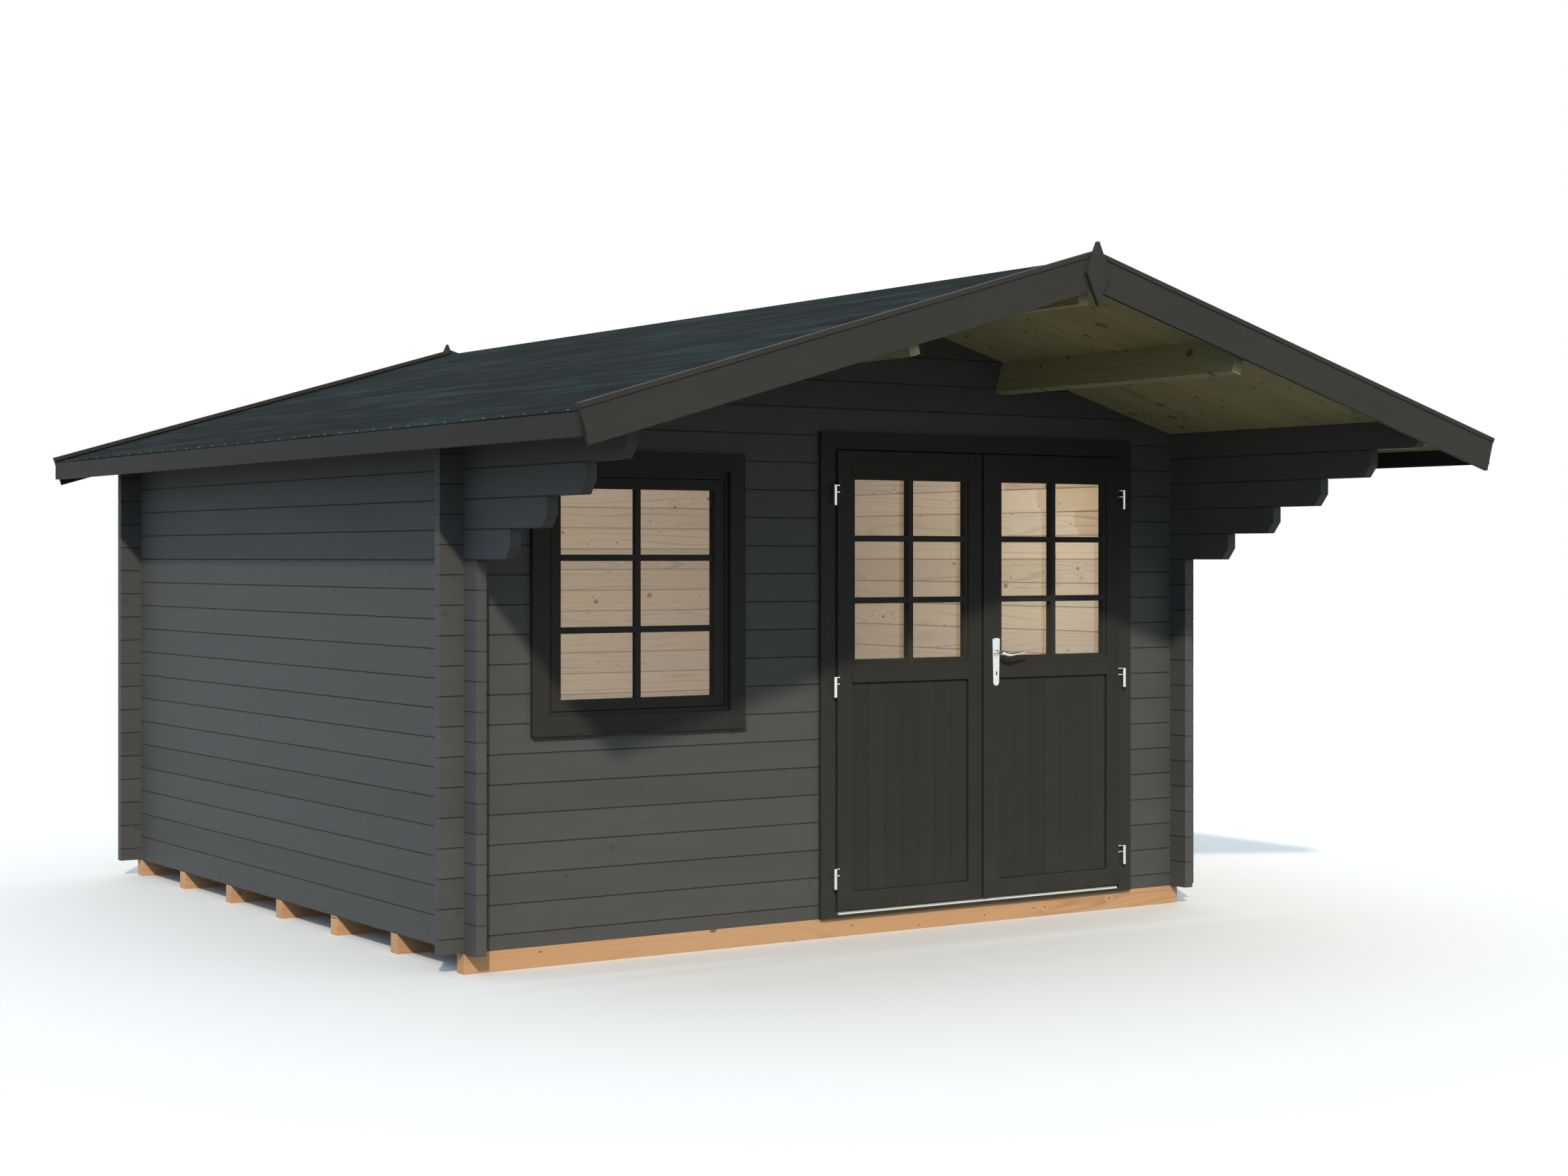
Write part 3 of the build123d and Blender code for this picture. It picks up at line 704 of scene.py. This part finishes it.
def softened(node_name, name, body, slot, finish, along, edge):
    """A CAD node's shape with its edges eased and its grain along a direction."""
    mesh = bpy.data.meshes.new(name)
    shape = bmesh.new()
    shape.from_mesh(cad_object(node_name).data)
    bmesh.ops.remove_doubles(shape, verts=shape.verts[:], dist=1e-5)
    flat = math.radians(1)
    bmesh.ops.dissolve_limit(shape, angle_limit=flat, verts=shape.verts[:], edges=shape.edges[:])
    if edge > 0:
        sharp = [e for e in shape.edges if e.is_manifold and e.calc_face_angle(0) > math.radians(25)]
        rounded(shape, sharp, edge)
    grained(shape, along, (sum(map(ord, name)) * TONE_STEP) % 1.0)
    for face in shape.faces:
        face.smooth = False
    shape.to_mesh(mesh)
    shape.free()
    if "custom_normal" in mesh.attributes:
        mesh.attributes.remove(mesh.attributes["custom_normal"])
    mesh.materials.append(bpy.data.materials[finish])
    settle(placed(name, mesh), body, slot, node_name)


def painted_trim(node_name, name, along, edge, body="shed"):
    """A CAD node's eased shape in the trim's paint."""
    softened(node_name, name, body, "trim_paint", "joinery_finish", along, edge)


def tube(shape, stations, sides):
    """Adds a closed tube through (centre, radius) stations, square to its own path."""
    rings = []
    last = len(stations) - 1
    for index, (centre, radius) in enumerate(stations):
        ahead = stations[min(index + 1, last)][0] - stations[max(index - 1, 0)][0]
        turn = ahead.normalized().to_track_quat("Z", "Y")
        ring = []
        for step in range(sides):
            angle = 2 * math.pi * step / sides
            point = turn @ Vector((radius * math.cos(angle), radius * math.sin(angle), 0))
            ring.append(shape.verts.new(centre + point))
        rings.append(ring)
    for first, second in zip(rings, rings[1:]):
        for step in range(sides):
            after = (step + 1) % sides
            shape.faces.new((first[step], first[after], second[after], second[step]))
    shape.faces.new(rings[0])
    shape.faces.new(rings[-1])


# Geometry Nodes


def geometry_tree(name, inputs):
    """A new geometry node tree with its inputs; returns the tree, its inputs and its output node."""
    tree = bpy.data.node_groups.new(name, "GeometryNodeTree")
    tree.interface.new_socket("Geometry", in_out="INPUT", socket_type="NodeSocketGeometry")
    for label, kind in (*inputs, ("Seed", "Int"), ("Material", "Material")):
        tree.interface.new_socket(label, in_out="INPUT", socket_type="NodeSocket" + kind)
    tree.interface.new_socket("Geometry", in_out="OUTPUT", socket_type="NodeSocketGeometry")
    entry = tree.nodes.new("NodeGroupInput").outputs
    leave = tree.nodes.new("NodeGroupOutput")
    return tree, entry, leave


def finish_tree(tree, entry, leave, instances):
    """Ends a tree: a tone for each instance, realized, with its material."""
    spread = {"Seed": entry["Seed"], 2: 0.0, 3: 1.0}
    tone = node(tree, "FunctionNodeRandomValue", spread, data_type="FLOAT").outputs[1]
    stored = node(
        tree,
        "GeometryNodeStoreNamedAttribute",
        {"Geometry": instances, "Name": "tone", "Value": tone},
        data_type="FLOAT",
        domain="INSTANCE",
    ).outputs[0]
    real = node(tree, "GeometryNodeRealizeInstances", {0: stored}).outputs[0]
    dressed = {"Geometry": real, "Material": entry["Material"]}
    feed(tree, leave, {0: node(tree, "GeometryNodeSetMaterial", dressed).outputs[0]})


def build_row_tree():
    """One board repeated side by side."""
    tree, entry, leave = geometry_tree("BoardRow", (("Count", "Int"), ("Step", "Vector")))
    line = {"Count": entry["Count"], "Offset": entry["Step"]}
    row = node(tree, "GeometryNodeMeshLine", line).outputs[0]
    values = {"Points": row, "Instance": entry["Geometry"]}
    boards = node(tree, "GeometryNodeInstanceOnPoints", values).outputs[0]
    finish_tree(tree, entry, leave, boards)


def build_heads_tree():
    """Round fixing heads standing on the mesh's points, each turned to its point's normal."""
    tree, entry, leave = geometry_tree("FixingHeads", (("Radius", "Float"), ("Stand", "Float")))
    cone = {
        "Vertices": 14,
        "Side Segments": 2,
        "Radius Top": times(tree, entry["Radius"], 0.55),
        "Radius Bottom": entry["Radius"],
        "Depth": entry["Stand"],
    }
    head = node(tree, "GeometryNodeMeshCone", cone).outputs[0]
    named = node(tree, "GeometryNodeInputNamedAttribute", {"Name": "facing"}, data_type="FLOAT_VECTOR")
    way = {"Vector": named.outputs[0]}
    turn = node(tree, "FunctionNodeAlignRotationToVector", way, axis="Z").outputs[0]
    values = {"Points": entry["Geometry"], "Instance": head, "Rotation": turn}
    heads = node(tree, "GeometryNodeInstanceOnPoints", values).outputs[0]
    finish_tree(tree, entry, leave, heads)


def grown(name, mesh, tree_name, values):
    """A mesh put through a geometry node tree and made plain again."""
    source = placed(name + "_source", mesh)
    modifier = source.modifiers.new("grow", "NODES")
    modifier.node_group = bpy.data.node_groups[tree_name]
    for item in modifier.node_group.interface.items_tree:
        if item.in_out == "INPUT" and item.name in values:
            modifier[item.identifier] = values[item.name]
    source.update_tag()
    graph = bpy.context.evaluated_depsgraph_get()
    result = bpy.data.meshes.new_from_object(
        source.evaluated_get(graph), preserve_all_data_layers=True, depsgraph=graph
    )
    if not result.polygons:
        raise RuntimeError(name + " came out empty")
    result.name = name
    bpy.data.objects.remove(source)
    return placed(name, result)


def one_board(name, corners, sweep, along, edge, flat=False):
    """A single board's mesh, for a row."""
    boards = Boards(name, edge, flat)
    boards.prism(corners, sweep, along)
    mesh = bpy.data.meshes.new(name)
    boards.mesh.to_mesh(mesh)
    boards.mesh.free()
    mesh.attributes.remove(mesh.attributes["tone"])
    return mesh


def lay_row(name, board, count, step, seed, finish, slot, node_name, body="shed"):
    """Repeats a board side by side as one piece that stands for a CAD node."""
    values = {"Count": count, "Step": step, "Seed": seed, "Material": bpy.data.materials[finish]}
    settle(grown(name, board, "BoardRow", values), body, slot, node_name)


# Operators


class CabinOperator:
    """What every step of the cabin shares."""

    bl_options = {"REGISTER", "UNDO"}

    @property
    def sizes(self):
        return bpy.context.scene.cabin_sizes


class CABIN_OT_log_walls(CabinOperator, bpy.types.Operator):
    """Paints the log walls outside and leaves them bare in the room"""

    bl_idname = "cabin.log_walls"
    bl_label = "Log walls"

    def execute(self, context):
        for name in ("left_wall", "right_wall"):
            dress(name, "side_log_finish")
        for name in ("rear_wall", "front_wall_left", "front_wall_right", "front_gable"):
            dress(name, "end_log_finish")
        return {"FINISHED"}


class CABIN_OT_roof_boards(CabinOperator, bpy.types.Operator):
    """Lays the tongued boards of both slopes from ridge to eave"""

    bl_idname = "cabin.roof_boards"
    bl_label = "Roof boards"

    def execute(self, context):
        for side, name in SIDES:
            low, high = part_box(name + "_roof_boards")
            count = self.sizes.roof_boards
            width = (high.y - low.y) / count
            thick = ROOF_BOARD_THICK / math.cos(PITCH)
            joint = self.sizes.joint
            reach = max(abs(low.x), abs(high.x))
            ridge = high.z - thick
            outline = [
                (joint, 0),
                (ROOF_BOARD_GAP, joint),
                (ROOF_BOARD_GAP, thick),
                (width - ROOF_BOARD_GAP, thick),
                (width - ROOF_BOARD_GAP, joint),
                (width - joint, 0),
            ]
            corners = [(0, low.y + y, ridge + z) for y, z in outline]
            sweep = (side * reach, 0, -reach * math.tan(PITCH))
            board = one_board(name + "_board", corners, sweep, sweep, 0, flat=True)
            row = (name + "_slope_boards", board, count, (0, width, 0), 3 if side < 0 else 4)
            lay_row(*row, "soffit_finish", "raw_spruce", name + "_roof_boards")
        return {"FINISHED"}


class CABIN_OT_floor(CabinOperator, bpy.types.Operator):
    """Lays the floor boards over the bearers"""

    bl_idname = "cabin.floor"
    bl_label = "Floor and bearers"

    def execute(self, context):
        low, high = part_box("floor_boards")
        count = self.sizes.floor_boards
        width = (high.x - low.x) / count
        joint = self.sizes.joint / 2
        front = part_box("door_frame")[1].y + FLOOR_STOP
        side = low.x + width
        corners = [
            (low.x, front, low.z),
            (side, front, low.z),
            (side, front, high.z - joint),
            (side - joint, front, high.z),
            (low.x + joint, front, high.z),
            (low.x, front, high.z - joint),
        ]
        board = one_board("floor_board", corners, (0, high.y - front, 0), AXES["Y"], 0, flat=True)
        row = ("floor_planks", board, count, (width, 0, 0), 5)
        lay_row(*row, "spruce_finish", "raw_spruce", "floor_boards")
        low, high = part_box("bearers")
        back = low.y + BEARER_WIDTH
        outline = ((low.y, low.z), (back, low.z), (back, high.z), (low.y, high.z))
        corners = [(low.x, y, z) for y, z in outline]
        board = one_board("bearer", corners, (high.x - low.x, 0, 0), AXES["X"], BEARER_EDGE)
        step = (0, (high.y - low.y - BEARER_WIDTH) / (BEARER_COUNT - 1), 0)
        row = ("bearer_timbers", board, BEARER_COUNT, step, 8)
        lay_row(*row, "bearer_finish", "bearer_wood", "bearers")
        return {"FINISHED"}


class CABIN_OT_roof_trim(CabinOperator, bpy.types.Operator):
    """Dresses the felt, purlins, eave boards, barge boards, caps and finials"""

    bl_idname = "cabin.roof_trim"
    bl_label = "Roof trim"

    def execute(self, context):
        edge = self.sizes.edge
        for name in ("ridge_purlin", "left_purlin", "right_purlin"):
            softened(name, name + "_timber", "shed", "raw_spruce", "soffit_finish", AXES["Y"], edge)
        for side, name in SIDES:
            painted_trim(name + "_eave_board", name + "_eave_plank", AXES["Y"], edge)
            slope = (side * math.cos(PITCH), 0, -math.sin(PITCH))
            for end in ENDS:
                painted_trim(f"{end}_{name}_barge_board", f"{end}_{name}_barge_plank", slope, edge)
        for end in ENDS:
            painted_trim(end + "_barge_caps", end + "_caps", AXES["X"], FINE_EDGE)
            painted_trim(end + "_finial", end + "_diamond", AXES["Z"], edge)
        sheet = ("roofing_felt", "felt_sheet", "shed", "roofing_felt", "felt_finish")
        softened(*sheet, AXES["Y"], FINE_EDGE)
        return {"FINISHED"}


class CABIN_OT_door_frame(CabinOperator, bpy.types.Operator):
    """Builds the door's casings, lining, stops, sill and threshold"""

    bl_idname = "cabin.door_frame"
    bl_label = "Door frame"

    def execute(self, context):
        painted_trim("door_frame", "door_casings", AXES["Z"], self.sizes.edge)
        strip = ("door_threshold", "threshold_strip", "shed", "bare_aluminium", "threshold_finish")
        softened(*strip, AXES["X"], FINE_EDGE)
        return {"FINISHED"}


class CABIN_OT_door_leaves(CabinOperator, bpy.types.Operator):
    """Joins the stiles, rails, beads, bars and planks of both leaves"""

    bl_idname = "cabin.door_leaves"
    bl_label = "Door leaves"

    def execute(self, context):
        for side, name in SIDES:
            low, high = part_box(name + "_leaf_frame")
            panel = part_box(name + "_leaf_panel")
            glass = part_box(name + "_leaf_glass")
            front = low.y + MOULDING_PROUD
            back = high.y
            x0, x1 = panel[0].x, panel[1].x
            foot, top = glass[0].z, glass[1].z
            leaf = Boards(name + "_leaf_joinery", self.sizes.edge)
            leaf.block((low.x, front, low.z), (x0, back, high.z), "Z")
            leaf.block((x1, front, low.z), (high.x, back, high.z), "Z")
            for z0, z1 in ((low.z, panel[0].z), (panel[1].z, foot), (top, high.z)):
                leaf.block((x0, front, z0), (x1, back, z1), "X")
            moulding_top = panel[1].z + MOULDING_HEIGHT
            leaf.block((x0, low.y, panel[1].z), (x1, front + LAP, moulding_top), "X")
            pane_front, pane_back = glass[0].y, glass[1].y
            middle = (x0 + x1) / 2
            left, right = middle - BAR / 2, middle + BAR / 2
            rows = (top - foot - 2 * BEAD + BAR) / 3
            for y0, y1, bar0, bar1 in (
                (front + BEAD_RECESS, pane_front, front + BAR_RECESS, pane_front),
                (pane_back, back - BEAD_RECESS, pane_back, back - BAR_RECESS),
            ):
                leaf.ring((x0, y0, foot), (x1, y1, top), BEAD, FINE_EDGE)
                leaf.block((left, bar0, foot), (right, bar1, top), "Z", FINE_EDGE)
                for row in (1, 2):
                    z0 = foot + BEAD + row * rows - BAR
                    leaf.block((x0, bar0, z0), (left, bar1, z0 + BAR), "X", FINE_EDGE)
                    leaf.block((right, bar0, z0), (x1, bar1, z0 + BAR), "X", FINE_EDGE)
            settle(leaf.done("joinery_finish"), name + "_door", "trim_paint", name + "_leaf_frame")
            self.planks(name, panel)
        painted_trim("meeting_strip", "meeting_cover", AXES["Z"], FINE_EDGE, "right_door")
        return {"FINISHED"}

    def planks(self, name, panel):
        """The upright planks of a leaf's panel."""
        low, high = panel
        count = self.sizes.panel_planks
        width = (high.x - low.x - 2 * PANEL_GAP) / count
        joint = self.sizes.joint
        thick = high.y - low.y
        outline = (
            (joint, 0),
            (PLANK_GAP, joint),
            (PLANK_GAP, thick - joint),
            (joint, thick),
            (width - joint, thick),
            (width - PLANK_GAP, thick - joint),
            (width - PLANK_GAP, joint),
            (width - joint, 0),
        )
        corners = [(low.x + PANEL_GAP + x, low.y + y, low.z + PANEL_GAP) for x, y in outline]
        sweep = (0, 0, high.z - low.z - PANEL_GAP)
        board = one_board(name + "_plank", corners, sweep, AXES["Z"], 0)
        row = (name + "_leaf_planks", board, count, (width, 0, 0), 11 + len(name))
        lay_row(*row, "joinery_finish", "trim_paint", name + "_leaf_panel", name + "_door")


class CABIN_OT_window(CabinOperator, bpy.types.Operator):
    """Builds the window's casings, frame and sash"""

    bl_idname = "cabin.window"
    bl_label = "Window"

    def execute(self, context):
        low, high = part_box("window_trim")
        front = -WALL_HALF - CASING_THICK
        trim = Boards("window_casings", self.sizes.edge)
        trim.ring((low.x, front, low.z), (high.x, -WALL_HALF, high.z), CASING_WIDTH)
        drip = (high.x, front + LAP, low.z + DRIP_HEIGHT)
        trim.block((low.x, low.y, low.z), drip, "X", FINE_EDGE)
        settle(trim.done("joinery_finish"), "shed", "trim_paint", "window_trim")
        painted_trim("window_frame", "window_lining", AXES["Z"], FINE_EDGE)
        painted_trim("window_sash", "window_casement", AXES["Z"], FINE_EDGE)
        return {"FINISHED"}


class CABIN_OT_panes(CabinOperator, bpy.types.Operator):
    """Glazes the leaves and the window"""

    bl_idname = "cabin.panes"
    bl_label = "Panes"

    def execute(self, context):
        for name in ("left_leaf_glass", "right_leaf_glass", "window_glass"):
            dress(name, "pane_finish")
        return {"FINISHED"}


class CABIN_OT_fittings(CabinOperator, bpy.types.Operator):
    """Finishes the hinges and handle plates, and shapes the two levers"""

    bl_idname = "cabin.fittings"
    bl_label = "Fittings"

    def execute(self, context):
        for name in ("frame_hinges", "left_leaf_hinges", "right_leaf_hinges", "handle_plates"):
            dress(name, "fitting_finish")
        low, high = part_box("handle_lever")
        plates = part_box("handle_plates")
        axis_x = low.x + LEVER_RADIUS
        axis_z = plates[0].z + LEVER_HEIGHT
        shape = bmesh.new()
        for face_y, outwards in ((plates[0].y + PLATE_THICK, -1), (plates[1].y - PLATE_THICK, 1)):
            path = [*NECK_STATIONS, *((x, GRIP_OUT, z, r) for x, z, r in LEVER_STATIONS)]
            collar = [(0, out, 0, r) for out, r in COLLAR_STATIONS]
            for points, sides in ((path, LEVER_SIDES), (collar, COLLAR_SIDES)):
                stations = [
                    (Vector((axis_x + x, face_y + outwards * out, axis_z + z)), radius)
                    for x, out, z, radius in points
                ]
                tube(shape, stations, sides)
        mesh = bpy.data.meshes.new("lever_pair")
        bmesh.ops.recalc_face_normals(shape, faces=shape.faces[:])
        for face in shape.faces:
            face.smooth = True
        shape.to_mesh(mesh)
        shape.free()
        mesh.materials.append(bpy.data.materials["fitting_finish"])
        settle(placed("lever_pair", mesh), "lever", "plated_steel", "handle_lever")
        return {"FINISHED"}


class CABIN_OT_fixings(CabinOperator, bpy.types.Operator):
    """Drives the felt nails along the eaves and the screws in the handle plates"""

    bl_idname = "cabin.fixings"
    bl_label = "Fixings"

    def execute(self, context):
        low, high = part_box("roofing_felt")
        spacing = self.sizes.clout_spacing
        count = int((high.y - low.y) / spacing)
        first = (low.y + high.y - (count - 1) * spacing) / 2
        points = []
        for side, name in SIDES:
            x = high.x - NAIL_INSET
            z = high.z - x * math.tan(PITCH)
            facing = (side * math.sin(PITCH), 0, math.cos(PITCH))
            points += [((side * x, first + n * spacing, z), facing) for n in range(count)]
        self.heads("felt_nails", points, NAIL_STAND, "shed", "nail_finish")
        low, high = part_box("handle_plates")
        x = (low.x + high.x) / 2
        heights = (low.z + SCREW_FOOT, high.z - SCREW_TOP)
        points = []
        for y, outwards in ((low.y, -1), (high.y, 1)):
            points += [((x, y, z), (0, outwards, 0)) for z in heights]
        self.heads("plate_screws", points, SCREW_STAND, "right_door", "fitting_finish")
        return {"FINISHED"}

    def heads(self, name, points, stand, body, finish):
        """Round heads at points, each with the way that it faces."""
        mesh = bpy.data.meshes.new(name)
        mesh.from_pydata([Vector(p) for p, facing in points], [], [])
        layer = mesh.attributes.new("facing", "FLOAT_VECTOR", "POINT")
        for item, (point, facing) in zip(layer.data, points):
            item.vector = facing
        values = {"Radius": HEAD_RADIUS, "Stand": stand, "Seed": 21, "Material": bpy.data.materials[finish]}
        settle(grown(name, mesh, "FixingHeads", values), body, "plated_steel")


class CABIN_OT_studio(CabinOperator, bpy.types.Operator):
    """Sets the pale floor, the lamps, the world and the camera"""

    bl_idname = "cabin.studio"
    bl_label = "Studio"

    def execute(self, context):
        self.floor()
        self.world()
        self.lamps()
        self.camera()
        context.scene.view_settings.view_transform = "Standard"
        return {"FINISHED"}

    def seen(self, tree):
        """The light path's outputs, and 1 for rays from the camera, also through glass."""
        rays = node(tree, "ShaderNodeLightPath").outputs
        return rays, highest(tree, rays["Is Camera Ray"], rays["Is Transmission Ray"])

    def floor(self):
        """A floor that looks near white and throws little light back on the cabin."""
        mesh = bpy.data.meshes.new("studio_floor")
        reach = 60
        corners = ((-reach, -reach, 0), (reach, -reach, 0), (reach, reach, 0), (-reach, reach, 0))
        mesh.from_pydata([Vector(c) for c in corners], [], [(0, 1, 2, 3)])
        floor = placed("studio_floor", mesh)
        made = bpy.data.materials.new("studio_floor_finish")
        made.use_nodes = True
        tree = made.node_tree
        rays, seen = self.seen(tree)
        shown = highest(tree, seen, rays["Is Glossy Ray"])
        colour = blend(tree, shown, (0.10, 0.10, 0.08), (0.93, 0.93, 0.93))
        feed(tree, tree.nodes["Principled BSDF"], {"Base Color": colour, "Roughness": 0.9})
        mesh.materials.append(made)

    def world(self):
        """White where it is seen, and a soft fill, bluer from the left."""
        world = bpy.data.worlds.new("studio_world")
        bpy.context.scene.world = world
        world.use_nodes = True
        tree = world.node_tree
        tree.nodes.clear()
        rays, seen = self.seen(tree)
        shown = highest(tree, seen, times(tree, rays["Is Glossy Ray"], 0.5))
        across = split(tree, node(tree, "ShaderNodeTexCoord").outputs["Generated"])[0]
        soft = blend(tree, ranged(tree, across, -0.8, 0.4), (0.58, 0.78, 1.0), (0.88, 0.95, 0.97))
        fill = node(tree, "ShaderNodeBackground", {"Color": soft, "Strength": 1.0}).outputs[0]
        pale = node(tree, "ShaderNodeBackground", {"Color": (1, 1, 1, 1), "Strength": 1.0}).outputs[0]
        both = node(tree, "ShaderNodeMixShader", {0: shown, 1: fill, 2: pale}).outputs[0]
        node(tree, "ShaderNodeOutputWorld", {"Surface": both})

    def lamps(self):
        """A sun that throws the photograph's shadows, and a lamp under the roof for the room."""
        lamp = bpy.data.lights.new("key_lamp", "SUN")
        lamp.energy = 2.3
        lamp.angle = math.radians(2)
        lamp.color = (1.0, 0.86, 0.68)
        key = placed("key_lamp", lamp)
        key.rotation_mode = "QUATERNION"
        key.rotation_quaternion = Vector((0.63, 1.0, -0.75)).to_track_quat("-Z", "Y")

        lamp = bpy.data.lights.new("room_lamp", "AREA")
        lamp.shape = "RECTANGLE"
        lamp.size = 2.4
        lamp.size_y = 0.3
        lamp.energy = 46
        room = placed("room_lamp", lamp)
        room.location = (0, -1.55, 1.95)
        room.rotation_euler = (math.radians(62), 0, 0)
        room.visible_camera = False
        room.visible_glossy = False
        room.visible_transmission = False

    def camera(self):
        """The camera, fitted to the photograph."""
        camera = bpy.data.cameras.new("camera")
        camera.sensor_width = 36
        camera.lens = 57.85
        camera.shift_x = -0.00325
        camera.shift_y = -0.01956
        camera.clip_end = 200
        view = placed("camera", camera)
        view.location = (-6.0531, -10.3638, 1.5717)
        view.rotation_euler = (math.radians(90), 0, -0.5893)
        bpy.context.scene.camera = view


class CABIN_PT_sidebar(bpy.types.Panel):
    """Lists the steps that dress the cabin"""

    bl_idname = "CABIN_PT_sidebar"
    bl_label = "Log cabin"
    bl_space_type = "VIEW_3D"
    bl_region_type = "UI"
    bl_category = "Log cabin"

    def draw(self, context):
        for group in (context.scene.cabin_sizes, context.scene.cabin_colours):
            column = self.layout.column()
            for name in group.bl_rna.properties.keys():
                if name not in ("rna_type", "name"):
                    column.prop(group, name)
        for step in STEPS:
            self.layout.operator(step.bl_idname)


STEPS = (
    CABIN_OT_log_walls,
    CABIN_OT_roof_boards,
    CABIN_OT_floor,
    CABIN_OT_roof_trim,
    CABIN_OT_door_frame,
    CABIN_OT_door_leaves,
    CABIN_OT_window,
    CABIN_OT_panes,
    CABIN_OT_fittings,
    CABIN_OT_fixings,
    CABIN_OT_studio,
)
CLASSES = (CabinSizes, CabinColours, *STEPS, CABIN_PT_sidebar)


def register():
    for item in CLASSES:
        bpy.utils.register_class(item)
    bpy.types.Scene.cabin_sizes = PointerProperty(type=CabinSizes)
    bpy.types.Scene.cabin_colours = PointerProperty(type=CabinColours)


def unregister():
    del bpy.types.Scene.cabin_colours
    del bpy.types.Scene.cabin_sizes
    for item in reversed(CLASSES):
        bpy.utils.unregister_class(item)


def main():
    register()
    for build in (
        build_wood_figure,
        build_course_tone,
        build_paint_film,
        build_settled_dust,
        build_felt_surface,
        build_brushed_metal,
        build_row_tree,
        build_heads_tree,
    ):
        build()
    build_materials(bpy.context.scene.cabin_colours)
    for step in STEPS:
        group, name = step.bl_idname.split(".")
        getattr(getattr(bpy.ops, group), name)()


if __name__ == "__main__":
    main()
